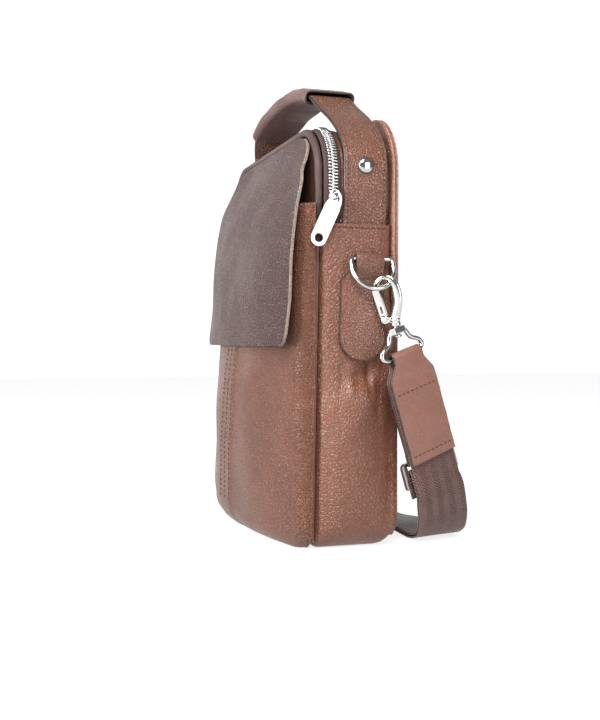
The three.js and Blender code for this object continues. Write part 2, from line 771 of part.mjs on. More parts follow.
function makeHook(side) {
  const hook = new THREE.Group();
  const axis = swivelAxis.clone().add(new THREE.Vector3(0, Math.tan(hookSlack * deg), 0)).normalize();
  const facing = new THREE.Vector3(Math.sin(hookTurn * deg), Math.cos(hookTurn * deg), 0);
  facing.addScaledVector(axis, -facing.dot(axis));
  hook.setRotationFromMatrix(basis(facing, axis));
  const stand = stirrupPlate / 2 + swivelPlay + collarDrop;
  hook.position.copy(barMiddle).addScaledVector(swivelAxis, plateRise).addScaledVector(axis, stand);
  side.add(hook);
  const points = hookRows.map((row) => new THREE.Vector3(row.x, row.y, row.half).multiplyScalar(hookRise));
  const curve = new THREE.CatmullRomCurve3(points, false, 'centripetal');
  const round = Array.from({ length: 8 }, (_, i) => {
    const angle = (i + 0.5) * 45 * deg;
    return new THREE.Vector2(Math.cos(angle), Math.sin(angle));
  });
  const bow = bentSection(round, evenly(16), (across, thick, at) => {
    const p = curve.getPointAt(at);
    const t = curve.getTangentAt(at);
    const length = Math.hypot(t.x, t.y);
    const x = p.x + t.y / length * p.z * across;
    return new THREE.Vector3(x, p.y - t.x / length * p.z * across, hookThickness / 2 * thick);
  });
  const boss = new THREE.CylinderGeometry(bossRadius, bossRadius, hookThickness, 12);
  boss.rotateX(Math.PI / 2);
  boss.translate(pivot.x, pivot.y, 0);
  const bridge = new THREE.BoxGeometry(-pivot.x, 3.4, hookThickness - 0.8);
  bridge.translate(pivot.x / 2, pivot.y - 0.3, 0);
  const stem = stemDiameter / 2;
  const headTop = collarDrop + stirrupPlate + 2 * swivelPlay;
  const collar = [
    [0, 3], [3.4, 3], [3.4, 0.6], [2.9, 0.2], [3.2, -0.2], [3.2, -collarDrop], [stem, -collarDrop],
    [stem, -headTop], [2.9, -headTop], [2.9, -headTop - 1.2], [1.9, -headTop - 1.8], [0, -headTop - 1.8],
  ];
  const spindle = new THREE.LatheGeometry(collar.map(([r, y]) => new THREE.Vector2(r, y)), 10);
  add(hook, 'hook_body_right', join(bow, boss, bridge, spindle), nickel);
  makeGate(hook);
}

function makeGate(hook) {
  const tip = hookRows[hookRows.length - 1];
  const from = new THREE.Vector2(pivot.x, pivot.y);
  const reach = new THREE.Vector2(tip.x, tip.y).multiplyScalar(hookRise).sub(from);
  const inner = bossRadius + gap;
  const outer = reach.length() - 1.3;
  const half = gateWidth / 2;
  const shape = new THREE.Shape();
  const spread = Math.asin(half / inner) * 0.9;
  shape.moveTo(-half, outer - 1);
  shape.lineTo(-half, Math.cos(spread) * inner);
  shape.absarc(0, 0, inner, Math.PI / 2 + spread, Math.PI / 2 - spread, true);
  shape.lineTo(half, outer - 1);
  shape.lineTo(half - 0.8, outer);
  shape.lineTo(-half + 0.8, outer);
  const slot = new THREE.Path();
  const slotHalf = 0.7;
  const slotFoot = inner + 1.6;
  slot.moveTo(-slotHalf, slotFoot);
  slot.lineTo(-slotHalf, slotFoot + 4.5);
  slot.lineTo(slotHalf, slotFoot + 4.5);
  slot.lineTo(slotHalf, slotFoot);
  shape.holes.push(slot);
  const options = { depth: gateThickness, bevelEnabled: false, curveSegments: 6 };
  const geometry = new THREE.ExtrudeGeometry(shape, options);
  geometry.translate(0, 0, -gateThickness / 2);
  const gate = add(hook, 'hook_gate_right', closed(geometry), nickel);
  gate.position.set(pivot.x, pivot.y, 0);
  gate.rotation.z = Math.atan2(-reach.x, reach.y);
}

// The strap's fall from the hook to the floor and along behind the bag, with the direction of its width.
// Places are shares: x of half the body's width, out of the strap's stand-off, y of its reach, z of its height.
const fall = [
  { x: 1, out: 1, y: 0.4224, z: 1, wx: -0.298, wy: 0.91, wz: 0.29 },
  { x: 1, out: 0.7759, y: 0.7343, z: 0.4613, wx: -0.298, wy: 0.91, wz: 0.29 },
  { x: 1, out: 0.4741, y: 0.8597, z: 0.2607, wx: -0.2, wy: 0.96, wz: 0.23 },
  { x: 0.9869, out: 0, y: 0.9254, z: 0.1343, wx: -0.17, wy: 0.98, wz: 0.12 },
  { x: 0.8821, out: 0, y: 0.9701, z: 0.0442, wx: -0.22, wy: 0.97, wz: 0 },
  { x: 0.7598, out: 0, y: 0.9627, z: 0.0111, wx: -0.28, wy: 0.96, wz: 0 },
  { x: 0.5764, out: 0, y: 0.8955, z: 0.0284, wx: -0.24, wy: 0.97, wz: 0 },
  { x: 0.393, out: 0, y: 0.8209, z: 0.0237, wx: -0.12, wy: 0.99, wz: 0 },
  { x: 0.1747, out: 0, y: 0.791, z: 0.0095, wx: -0.03, wy: 1, wz: 0 },
];

function fallPoint(row) {
  return new THREE.Vector3(row.x * halfBody + row.out * fallStand, row.y * fallReach, row.z * fallHeight);
}

function fallWidth(row) {
  return new THREE.Vector3(row.wx, row.wy, row.wz);
}

const fallTop = fallPoint(fall[0]);
const endDown = fallPoint(fall[1]).sub(fallTop).normalize();
const endWidth = fallWidth(fall[0]).normalize();
endWidth.addScaledVector(endDown, -endWidth.dot(endDown)).normalize();

// Frame of the strap's leather end: x is its width, y is down along it, z faces away from the bag
const endFrame = basis(endWidth, endDown);

const endRadius = (stirrupWire + strapLeather) / 2 + ringPlay;

function strapEndHalf(down) {
  const wide = strapWidth / 2 + 0.4;
  return strapEndWidth / 2 + (wide - strapEndWidth / 2) * clamp01((down - 4) / (strapEndChamfer - 4));
}

// Middle line of one layer of the leather: how far out it lies at a distance down from the bar
function layerOut(down, leg) {
  return endRadius + (leg - endRadius) * smooth(down / strapEndChamfer);
}

function arcPoints(radius, middle, from, to, count) {
  return evenly(count).map((share) => {
    const angle = (from + (to - from) * share) * deg;
    return { down: middle - radius * Math.sin(angle), out: radius * Math.cos(angle) };
  });
}

const legDowns = [0, 4, 9, 14, 20, 40, 60];

// Leather folded over the bar, open at its lower end where the webbing is sewn in
function openFold() {
  const leg = webbing / 2 + gap + strapLeather / 2;
  const side = [...legDowns, strapEndLength].slice(1).map((down) => ({ down, out: layerOut(down, leg) }));
  const inner = side.map(({ down, out }) => ({ down, out: -out }));
  return [...side.reverse(), ...arcPoints(endRadius, 0, 0, 180, 8), ...inner];
}

// Leather folded over the bar and round the ring below it, with its ends meeting on the inner side
function closedFold() {
  const leg = (strapLeather + gap) / 2;
  const ringRadius = (glideWire + strapLeather) / 2 + 1.5 * ringPlay;
  const foot = glideDown - farRingDrop;
  const outAt = (down) => Math.max(layerOut(down, leg), leg + (ringRadius - leg) * smooth(1 - (foot - down) / 10));
  const side = [...legDowns.slice(1, -1), 50, foot - 8, foot - 4, foot - 1].map((down) => ({ down, out: outAt(down) }));
  const inner = side.map(({ down, out }) => ({ down, out: -out }));
  const seamDown = 34;
  const above = inner.filter(({ down }) => down < seamDown);
  const below = inner.filter(({ down }) => down > seamDown).reverse();
  const lower = arcPoints(ringRadius, foot, 180, 360, 8).map(({ down, out }) => ({ down, out: -out })).reverse();
  return [
    { down: seamDown - gap, out: -leg },
    ...above.reverse(),
    ...arcPoints(endRadius, 0, 180, 0, 8),
    ...side,
    ...lower.reverse(),
    ...below,
    { down: seamDown + gap, out: -leg },
  ];
}

function foldedLeather(rows) {
  return bentSection(rectangle(-1, 1, -0.5, 0.5), rows.map((_, i) => i), (across, thick, at) => {
    const here = rows[at];
    const ahead = rows[Math.min(rows.length - 1, at + 1)];
    const behind = rows[Math.max(0, at - 1)];
    const tangent = new THREE.Vector2(ahead.down - behind.down, ahead.out - behind.out).normalize();
    const wall = strapLeather * thick;
    const x = across * strapEndHalf(Math.max(0, here.down));
    return new THREE.Vector3(x, here.down - tangent.y * wall, here.out + tangent.x * wall);
  });
}

function makeStrapEnd(side) {
  const mesh = add(side, 'strap_end_right', foldedLeather(openFold()), strapLeatherLook);
  mesh.setRotationFromMatrix(endFrame);
  mesh.position.copy(fallTop);
}

// On the left the leather holds a ring that the webbing turns round
function makeFarEnd(side) {
  const mesh = add(side, 'strap_end_right', foldedLeather(closedFold()), strapLeatherLook);
  mesh.setRotationFromMatrix(endFrame);
  mesh.position.copy(fallTop);
  const corner = 2.5;
  const half = (strapWidth + glideWire) / 2 + 1.4;
  const tall = farRingDrop / 2;
  const path = new THREE.Path();
  path.moveTo(corner - half, tall);
  path.lineTo(half - corner, tall);
  path.absarc(half - corner, tall - corner, corner, Math.PI / 2, 0, true);
  path.lineTo(half, corner - tall);
  path.absarc(half - corner, corner - tall, corner, 0, -Math.PI / 2, true);
  path.lineTo(corner - half, -tall);
  path.absarc(corner - half, corner - tall, corner, -Math.PI / 2, -Math.PI, true);
  path.lineTo(-half, tall - corner);
  path.absarc(corner - half, tall - corner, corner, Math.PI, Math.PI / 2, true);
  const ring = add(side, 'strap_ring_right', wireRing(path, glideWire, 34, 6), nickel);
  ring.setRotationFromMatrix(endFrame);
  ring.position.copy(fallTop).addScaledVector(endDown, glideDown - farRingDrop / 2);
}

// Axis that the hook swivels on, square to the bar in the leather end
const lean = new THREE.Vector3(0, -Math.sin(hookLean * deg), Math.cos(hookLean * deg));
const swivelAxis = lean.addScaledVector(endWidth, -lean.dot(endWidth)).normalize();
const barMiddle = fallTop.clone().addScaledVector(endWidth, -stirrupShift);
const plateRise = stirrupRise + 0.4;
const swivelPlay = gap + 3.2 * Math.tan(hookSlack * deg);

// Loop of the hook: a bar in the leather end, splayed legs and a plate that the swivel turns in
function makeStirrup(side) {
  const half = stirrupSpan / 2;
  const points = [
    [0, 0], [half - 1.5, 0], [half + 1.8, 2.6], [half + 0.6, 6], [half * 0.62, 10], [half * 0.36, stirrupRise],
    [0, stirrupRise + 0.6],
  ];
  const left = points.slice(1, -1).map(([x, y]) => [-x, y]).reverse();
  const outline = [...points, ...left].map(([x, y]) => new THREE.Vector3(x, y, 0));
  const curve = new THREE.CatmullRomCurve3(outline, true, 'centripetal');
  const ring = wireRing(curve, stirrupWire, 34, 6);
  const plate = new THREE.BoxGeometry(12.5, stirrupPlate, 6.4);
  plate.translate(0, plateRise, 0);
  const bore = stemDiameter / 2 + gap + stirrupPlate / 2 * Math.tan(hookSlack * deg) + 0.1;
  const hole = new THREE.CylinderGeometry(bore, bore, 3 * stirrupPlate, 12);
  hole.translate(0, stirrupRise, 0);
  const mesh = add(side, 'hook_loop_right', cut(join(ring, plate), hole), nickel);
  mesh.setRotationFromMatrix(basis(endWidth, swivelAxis));
  mesh.position.copy(barMiddle);
}

// One length of webbing: out along the fall to the ring on the left, round it, and back to the adjuster
const layerStep = webbing + layerGap;
const turnRadius = glideWire / Math.SQRT2 + webbing / 2 + gap;
const sewnFrom = strapEndChamfer + 4;

function routeCurves() {
  const rows = fall.slice(2);
  const points = rows.map(fallPoint);
  const widths = rows.map(fallWidth);
  const downTo = (down) => fallTop.clone().addScaledVector(endDown, down);
  const below = glideDown + glideHeight / 2 + 2;
  const straight = [sewnFrom, 37, 56, 68, glideDown, below].map(downTo);
  const turned = [downTo(glideDown), downTo(below), ...points].map(mirroredPoint).reverse();
  const turnedWidths = [endWidth, endWidth, ...widths].map(mirroredPoint).reverse();
  const last = points[points.length - 1];
  const middle = new THREE.Vector3(0, last.y, last.z);
  const across = [...straight.map(() => endWidth), ...widths, new THREE.Vector3(0, 1, 0), ...turnedWidths];
  return {
    line: new THREE.CatmullRomCurve3([...straight, ...points, middle, ...turned], false, 'centripetal'),
    across,
  };
}

function ribbon() {
  const { line, across } = routeCurves();
  const length = line.getLength();
  const frameAt = (along) => {
    const share = clamp01(along / length);
    const t = line.getTangentAt(share);
    const row = line.getUtoTmapping(share) * (across.length - 1);
    const from = Math.min(Math.floor(row), across.length - 2);
    const w = across[from].clone().lerp(across[from + 1], row - from);
    w.addScaledVector(t, -w.dot(t)).normalize();
    return { p: line.getPointAt(share), t, w, n: t.clone().cross(w) };
  };
  const shifted = (frame, away, side) => ({
    p: frame.p.clone().addScaledVector(frame.n, away),
    w: frame.w,
    n: frame.n.clone().multiplyScalar(side),
  });
  const nearRing = (along) => smooth(1 - (length - along) / 25);
  const out = evenly(50).map((share) => {
    const along = share * length;
    return shifted(frameAt(along), turnRadius * nearRing(along), 1);
  });
  const end = frameAt(length);
  const aroundRing = [30, 60, 90, 120, 150].map((angle) => {
    const n = end.n.clone().multiplyScalar(Math.cos(angle * deg)).addScaledVector(end.t, Math.sin(angle * deg));
    return { p: end.p.clone().addScaledVector(n, turnRadius), w: end.w, n };
  });
  const barAlong = glideDown - sewnFrom;
  const back = evenly(46).map((share) => {
    const along = length + (barAlong - length) * share;
    const away = -layerStep - (turnRadius - layerStep) * nearRing(along);
    return shifted(frameAt(along), away, -1);
  });
  const bar = frameAt(barAlong);
  const centre = bar.p.clone().addScaledVector(bar.n, -layerStep - turnRadius);
  const aroundBar = [30, 60, 90, 120, 150, 180].map((angle) => {
    const n = bar.n.clone().multiplyScalar(-Math.cos(angle * deg)).addScaledVector(bar.t, Math.sin(angle * deg));
    return { p: centre.clone().addScaledVector(n, -turnRadius), w: bar.w, n };
  });
  const fold = aroundBar[aroundBar.length - 1];
  const tail = [0.4, 1].map((share) => ({
    p: fold.p.clone().addScaledVector(bar.t, share * sewnTail),
    w: bar.w,
    n: fold.n,
  }));
  return { frames: [...out, ...aroundRing, ...back, ...aroundBar, ...tail], centre, bar };
}

function makeWebbing() {
  const { frames, centre, bar } = ribbon();
  const half = strapWidth / 2;
  const stations = frames.map((_, i) => i);
  const geometry = bentSection(rectangle(-half, half, -webbing / 2, webbing / 2), stations, (x, y, at) => (
    frames[at].p.clone().addScaledVector(frames[at].w, x).addScaledVector(frames[at].n, y)
  ));
  add(bag, 'webbing', geometry, webbingLook);
  makeGlide(centre, bar);
}

function roundedFrame(width, height, corner) {
  const half = width / 2 - corner;
  const tall = height / 2 - corner;
  const shape = new THREE.Shape();
  shape.absarc(half, tall, corner, 0, Math.PI / 2);
  shape.absarc(-half, tall, corner, Math.PI / 2, Math.PI);
  shape.absarc(-half, -tall, corner, Math.PI, 1.5 * Math.PI);
  shape.absarc(half, -tall, corner, 1.5 * Math.PI, 2 * Math.PI);
  return shape;
}

function slot(width, foot, top) {
  const path = new THREE.Path();
  path.moveTo(-width / 2, foot);
  path.lineTo(-width / 2, top);
  path.lineTo(width / 2, top);
  path.lineTo(width / 2, foot);
  return path;
}

// Adjuster: a flat frame with a middle bar that the webbing's sewn end is folded round
function makeGlide(centre, bar) {
  const shape = roundedFrame(glideWidth, glideHeight, 3);
  const inner = strapWidth + 2 * ringPlay;
  const half = glideWire / 2;
  shape.holes.push(slot(inner, half, glideHeight / 2 - glideWire));
  shape.holes.push(slot(inner, glideWire - glideHeight / 2, -half));
  const options = { depth: glideWire, bevelEnabled: false, curveSegments: 4 };
  const geometry = new THREE.ExtrudeGeometry(shape, options);
  geometry.translate(0, 0, -glideWire / 2);
  const mesh = add(bag, 'strap_adjuster', closed(geometry), nickel);
  mesh.setRotationFromMatrix(basis(bar.w, bar.t));
  mesh.position.copy(centre);
}

// Zip slider with its bridge, the pull that hangs from it, and the stops at the zip's two ends
function makeZipEnds() {
  const face = halfGusset + gap + chainHeight + gap;
  const slider = new THREE.Group();
  slider.position.set(face, chainLine, chainFoot + sliderLength / 2 + gap);
  bag.add(slider);
  const plate = new THREE.Shape();
  plate.absellipse(0, 0, sliderWidth / 2, sliderLength / 2, 0, 2 * Math.PI);
  const upright = new THREE.Matrix4().makeBasis(new THREE.Vector3(0, 1, 0), up, new THREE.Vector3(1, 0, 0));
  const body = new THREE.ExtrudeGeometry(plate, { depth: sliderPlate, bevelEnabled: false, curveSegments: 6 });
  body.applyMatrix4(upright);
  const arc = new THREE.CatmullRomCurve3([
    new THREE.Vector3(sliderPlate - 0.6, 0, bridgeTop + 0.6),
    new THREE.Vector3(sliderPlate + bridgeHeight, 0, bridgeTop),
    new THREE.Vector3(sliderPlate + bridgeHeight, 0, bridgeTop - bridgeLength),
    new THREE.Vector3(sliderPlate - 0.6, 0, bridgeTop - bridgeLength - 0.6),
  ], false, 'centripetal');
  const wire = new THREE.Shape();
  wire.absarc(0, 0, bridgeWire / 2, 0, 2 * Math.PI);
  const bridge = new THREE.ExtrudeGeometry(wire, { steps: 12, extrudePath: arc, curveSegments: 4 });
  add(slider, 'zip_slider', join(body, bridge), nickel);
  makePull(slider, upright);
  const path = arch(halfGusset, gussetTop, gussetCorner, chainFoot - stopLength - 2 * gap);
  const share = stopLength / path.getLength();
  const foot = 1.5 * gap;
  const block = rectangle(chainLine - stopWidth / 2, chainLine + stopWidth / 2, foot, foot + stopHeight);
  add(bag, 'zip_stop_right', bentSection(block, [0, share], gussetPlace(path)), nickel);
  add(bag, 'zip_stop_left', bentSection(block, [1 - share, 1], gussetPlace(path)), nickel);
}

function makePull(slider, upright) {
  const half = pullWidth / 2;
  const shape = new THREE.Shape();
  const eyeHalf = pullEye / 2 + pullRim;
  shape.moveTo(-eyeHalf, 0);
  shape.absarc(0, 0, eyeHalf, Math.PI, 0, true);
  shape.lineTo(half, -6);
  shape.lineTo(half, -pullLength + half);
  shape.absarc(0, -pullLength + half, half, 0, -Math.PI, true);
  shape.lineTo(-half, -6);
  const hole = new THREE.Path();
  hole.absarc(0, -pullLength + half, pullHole / 2, 0, 2 * Math.PI);
  const eye = new THREE.Path();
  eye.absarc(0, 0, pullEye / 2, 0, 2 * Math.PI);
  shape.holes.push(hole, eye);
  const options = { depth: pullThickness, bevelEnabled: false, curveSegments: 8 };
  const geometry = new THREE.ExtrudeGeometry(shape, options);
  geometry.translate(0, 0, -pullThickness / 2);
  geometry.applyMatrix4(upright);
  const pull = add(slider, 'pull_tab', closed(geometry), nickel);
  pull.position.set(sliderPlate + pullThickness / 2 + gap, 0, bridgeTop - bridgeLength - 0.3);
  pull.rotation.x = -pullLean * deg;
}

makeGusset();
makeSidePanel();
makeBackPanel();
makeFrontWall();
makePouch();
makeFlap();
makeHandle();
makeZipEnds();
makeWebbing();

const rightSide = new THREE.Group();
const farSide = new THREE.Group();
[rightSide, farSide].forEach((side) => {
  makeRivet(side);
  makeRingTab(side);
  makeHook(side);
  makeStirrup(side);
});
makeStrapEnd(rightSide);
makeFarEnd(farSide);
bag.add(rightSide);
bag.add(mirrored(farSide));

export default bag;
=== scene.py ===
"""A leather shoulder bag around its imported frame: every visible surface, the light and the camera."""
import math
import random

import bmesh
import bpy
import numpy as np
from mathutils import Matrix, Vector


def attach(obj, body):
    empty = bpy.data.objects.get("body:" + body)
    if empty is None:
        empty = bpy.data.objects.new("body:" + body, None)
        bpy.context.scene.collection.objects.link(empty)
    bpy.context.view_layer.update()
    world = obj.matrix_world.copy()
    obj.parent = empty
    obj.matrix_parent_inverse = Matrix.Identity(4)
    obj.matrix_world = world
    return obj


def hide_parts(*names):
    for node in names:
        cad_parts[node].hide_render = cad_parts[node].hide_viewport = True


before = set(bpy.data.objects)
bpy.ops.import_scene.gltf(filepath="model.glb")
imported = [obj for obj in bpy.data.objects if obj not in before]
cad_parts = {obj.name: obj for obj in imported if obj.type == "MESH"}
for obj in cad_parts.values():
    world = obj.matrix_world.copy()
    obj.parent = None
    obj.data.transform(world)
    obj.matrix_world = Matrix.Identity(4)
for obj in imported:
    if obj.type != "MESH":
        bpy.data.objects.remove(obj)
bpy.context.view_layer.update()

MM = 0.001
rng = random.Random(7)

# Camera: the photograph looks along the bag's side, a little from the front and from just above its middle
camera = bpy.data.objects.new("camera", bpy.data.cameras.new("camera"))
bpy.context.scene.collection.objects.link(camera)
camera.location = Vector((728, -230, 136)) * MM
camera.data.lens = 50.5
camera.rotation_euler = (math.radians(90 - 1.13), 0, math.radians(72.7))
camera.data.clip_start = 0.01
bpy.context.scene.camera = camera

# Sizes of the bag in millimetres, as in its frame
gap = 0.3
half_body, half_gusset = 114.5, 111.0
panel_wall, panel_top, panel_corner = 2.0, 211.0, 16.0
seam_top, seam_bottom, back_seam = -24.0, -28.0, 24.0
front_edge, back_edge, back_base = 5.0, 2.6, 12.0
side_bulge = 6.0
back_rise, back_corner, back_foot = 287.0, 40.0, 24.0
gusset_top, gusset_corner, gusset_foot = 277.0, 34.0, 197.0
tuck_blend = 14.0
tape_back, bead_radius, bead_line = -10.3, 2.6, -24.6
chain_line, chain_width, chain_height, chain_foot = -15.6, 6.5, 2.2, 218.5
front_wall_thickness = 1.6
pouch_width, pouch_top, pouch_wall = 226.0, 224.0, 2.0
pouch_corner, pouch_base, pouch_swell = 14.0, 15.0, 1.2
flap_width, flap_bottom, flap_wall, flap_corner = 224.0, 132.0, 2.0, 9.0
handle_width, handle_thickness, handle_line, handle_top_line, handle_rise = 30.0, 2.8, 6.0, -4.0, 32.0
sleeve_length, sleeve_width, sleeve_thickness, sleeve_wall = 144.0, 35.0, 9.4, 1.4
rivet_z, rivet_y = 249.0, 5.6
strap_rest = 1.5 * gap
tucked_half = half_body - panel_wall - 1.5 * gap - handle_thickness - strap_rest
zip_top = gusset_top + gap + chain_height
both_sides = (("right", False), ("left", True))


def vec(*v):
    return np.array(v, float)


def unit(v):
    return v / np.linalg.norm(v, axis=-1, keepdims=True)


def smooth(t):
    t = np.clip(t, 0, 1)
    return t * t * (3 - 2 * t)


def read(rows, column, at):
    """A column of a table at a place in its first column, on a smooth curve through the rows."""
    x = np.array([r[0] for r in rows], float)
    y = np.array([r[column] for r in rows], float)
    slope = np.gradient(y, x)
    at = np.clip(at, x[0], x[-1])
    i = np.clip(np.searchsorted(x, at, side="right") - 1, 0, len(x) - 2)
    h = x[i + 1] - x[i]
    t = (at - x[i]) / h
    a, b = y[i], y[i + 1]
    t2, t3 = t * t, t ** 3
    return (2 * t3 - 3 * t2 + 1) * a + (t3 - 2 * t2 + t) * h * slope[i] \
        + (3 * t2 - 2 * t3) * b + (t3 - t2) * h * slope[i + 1]


class Line:
    """A line through points, read by the length along it."""

    def __init__(self, points, knots=None):
        self.points = np.array(points, float)
        steps = np.linalg.norm(np.diff(self.points, axis=0), axis=1)
        self.lengths = np.concatenate([[0], np.cumsum(steps)])
        self.length = self.lengths[-1]
        self.knots = knots

    def at(self, s):
        return np.stack([np.interp(s, self.lengths, c) for c in self.points.T], -1)

    def along(self, s, reach=0.4):
        s = np.asarray(s, float)
        low = np.clip(s - reach, 0, self.length)
        high = np.clip(s + reach, 0, self.length)
        return unit(self.at(high) - self.at(low))

    def knot(self, s):
        return np.interp(s, self.lengths, self.knots)


def arc(cx, cy, r, start, end, count=24):
    angles = np.radians(np.linspace(start, end, count))
    return [(cx + r * math.cos(a), cy + r * math.sin(a)) for a in angles]


def between(a, b, count):
    """The points on the way from a to b, after a, in equal steps."""
    return [(a[0] + (b[0] - a[0]) * k / count, a[1] + (b[1] - a[1]) * k / count) for k in range(1, count + 1)]


def fine_line(right):
    """A line through points and their mirror image, with steps of about 2 mm."""
    points = [right[0]]
    for q in right[1:] + [(-x, z) for x, z in reversed(right)]:
        apart = math.dist(points[-1], q)
        if apart > 1e-9:
            points += between(points[-1], q, max(1, int(apart / 2)))
    return Line(points)


def spline(points, closed=False, per=24):
    """Centripetal curve through points, with the place between the points along it."""
    p = [np.array(q, float) for q in points]
    if closed:
        p = [p[-1], *p, p[0], p[1]]
    else:
        p = [2 * p[0] - p[1], *p, 2 * p[-1] - p[-2]]
    out, knots = [], []
    for i in range(1, len(p) - 2):
        a, b, c, d = p[i - 1:i + 3]
        t0 = 0.0
        t1 = t0 + max(np.linalg.norm(b - a) ** 0.5, 1e-6)
        t2 = t1 + max(np.linalg.norm(c - b) ** 0.5, 1e-6)
        t3 = t2 + max(np.linalg.norm(d - c) ** 0.5, 1e-6)
        for k in range(per):
            t = t1 + (t2 - t1) * k / per
            a1 = (t1 - t) / (t1 - t0) * a + (t - t0) / (t1 - t0) * b
            a2 = (t2 - t) / (t2 - t1) * b + (t - t1) / (t2 - t1) * c
            a3 = (t3 - t) / (t3 - t2) * c + (t - t2) / (t3 - t2) * d
            b1 = (t2 - t) / (t2 - t0) * a1 + (t - t0) / (t2 - t0) * a2
            b2 = (t3 - t) / (t3 - t1) * a2 + (t - t1) / (t3 - t1) * a3
            out.append((t2 - t) / (t2 - t1) * b1 + (t - t1) / (t2 - t1) * b2)
            knots.append(i - 1 + k / per)
    out.append(p[-2])
    knots.append(len(p) - 3)
    return Line(out, knots)


def piece(name, points, faces, looks, body="bag", slot=None, stands_for=(), marks=None, uv=None, flip=False,
          bevel=0.0):
    """One finished mesh in the bag's frame; points in millimetres, looks one material or several."""
    points = np.array(points, float).reshape(-1, 3)
    if flip:
        points = points * vec(-1, 1, 1)
        faces = [tuple(reversed(f)) for f in faces]
    mesh = bpy.data.meshes.new(name)
    mesh.from_pydata((points * MM).tolist(), [], [tuple(map(int, f)) for f in faces])
    looks = looks if isinstance(looks, (list, tuple)) else [looks]
    for look in looks:
        mesh.materials.append(look)
    if marks is not None:
        mesh.polygons.foreach_set("material_index", np.array(marks, np.int32))
    if uv is not None:
        layer = mesh.uv_layers.new(name="surface")
        corners = np.zeros(len(mesh.loops), np.int32)
        mesh.loops.foreach_get("vertex_index", corners)
        layer.data.foreach_set("uv", (np.array(uv, float)[corners] * MM).ravel())
    mesh.polygons.foreach_set("use_smooth", [True] * len(mesh.polygons))
    mesh.update()
    thing = bpy.data.objects.new(name, mesh)
    bpy.context.scene.collection.objects.link(thing)
    if bevel:
        soften(thing, bevel)
    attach(thing, body)
    if stands_for:
        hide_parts(*stands_for)
    return thing


def soften(thing, width, segments=2, angle=38):
    rounding = thing.modifiers.new("rounded edges", "BEVEL")
    rounding.width = width * MM
    rounding.segments = segments
    rounding.limit_method = "ANGLE"
    rounding.angle_limit = math.radians(angle)
    rounding.harden_normals = False


def fuse(thing, voxel, rounds):
    """Joins overlapping metal into one cast body with eased edges."""
    cast = thing.modifiers.new("one body", "REMESH")
    cast.mode = "VOXEL"
    cast.voxel_size = voxel * MM
    cast.use_smooth_shade = True
    ease = thing.modifiers.new("eased", "SMOOTH")
    ease.factor = 0.5
    ease.iterations = rounds


def grid(rows, cols, ring=False, start=0, turned=False):
    """Faces between rows of points; ring joins each row's end to its start."""
    faces = []
    for i in range(rows - 1):
        for j in range(cols if ring else cols - 1):
            k = (j + 1) % cols
            here, above = start + i * cols, start + (i + 1) * cols
            face = (here + j, here + k, above + k, above + j)
            faces.append(face[::-1] if turned else face)
    return faces


def loft(name, rings, looks, caps=True, marks=None, turned=False, **more):
    """A closed body through rings of points, all with the same number of points."""
    rings = np.array(rings, float)
    count, around = rings.shape[:2]
    faces = grid(count, around, ring=True, turned=turned)
    if caps:
        first, last = tuple(range(around)), tuple(range((count - 1) * around, count * around))
        faces += [first, last[::-1]] if turned else [first[::-1], last]
    across = np.linalg.norm(np.diff(rings[count // 2], axis=0), axis=1)
    across = np.concatenate([[0], np.cumsum(across)])
    spine = rings.mean(1)
    down = np.concatenate([[0], np.cumsum(np.linalg.norm(np.diff(spine, axis=0), axis=1))])
    uv = np.stack(np.meshgrid(across, down), -1).reshape(-1, 2)
    if marks is not None:
        marks = list(np.tile(marks, count - 1)) + ([0, 0] if caps else [])
    return piece(name, rings, faces, looks, marks=marks, uv=uv, **more)


def shell(name, outer, inner, looks, **more):
    """A tube with a wall: two lofts of the same size joined at their ends."""
    outer, inner = np.array(outer, float), np.array(inner, float)
    count, around = outer.shape[:2]
    total = count * around
    faces = grid(count, around, ring=True) + grid(count, around, ring=True, start=total, turned=True)
    for j in range(around):
        k = (j + 1) % around
        faces.append((j, total + j, total + k, k))
        a, b = (count - 1) * around + j, (count - 1) * around + k
        faces.append((a, b, total + b, total + a))
    points = np.concatenate([outer.reshape(-1, 3), inner.reshape(-1, 3)])
    return piece(name, points, faces, looks, **more)


def plate(name, outline, thickness, place, looks, holes=(), **more):
    """A flat outline given a thickness; place turns (x, y, z) into the bag's frame.

    Its edge takes the second look.
    """
    build = bmesh.new()
    loops = []
    for loop in [outline, *holes]:
        loops.append([build.verts.new((x, y, 0)) for x, y in loop])
    edges = []
    for loop in loops:
        for i, v in enumerate(loop):
            edges.append(build.edges.new((v, loop[(i + 1) % len(loop)])))
    bmesh.ops.triangle_fill(build, edges=edges, use_beauty=True)
    low = list(build.faces)
    made = bmesh.ops.extrude_face_region(build, geom=low)
    raised = [g for g in made["geom"] if isinstance(g, bmesh.types.BMVert)]
    for v in raised:
        v.co.z = thickness
    bmesh.ops.recalc_face_normals(build, faces=build.faces)
    build.verts.index_update()
    points = np.array([place(*v.co) for v in build.verts])
    faces = [tuple(v.index for v in f.verts) for f in build.faces]
    marks = [0 if abs(f.normal.z) > 0.5 else 1 for f in build.faces]
    build.free()
    return piece(name, points, outward(points, faces), looks, marks=marks, **more)


def outward(points, faces):
    """The same faces, turned so that the body's volume is positive."""
    volume = 0.0
    for f in faces:
        a = points[f[0]]
        for i in range(1, len(f) - 1):
            volume += np.dot(a, np.cross(points[f[i]], points[f[i + 1]]))
    return faces if volume > 0 else [tuple(reversed(f)) for f in faces]


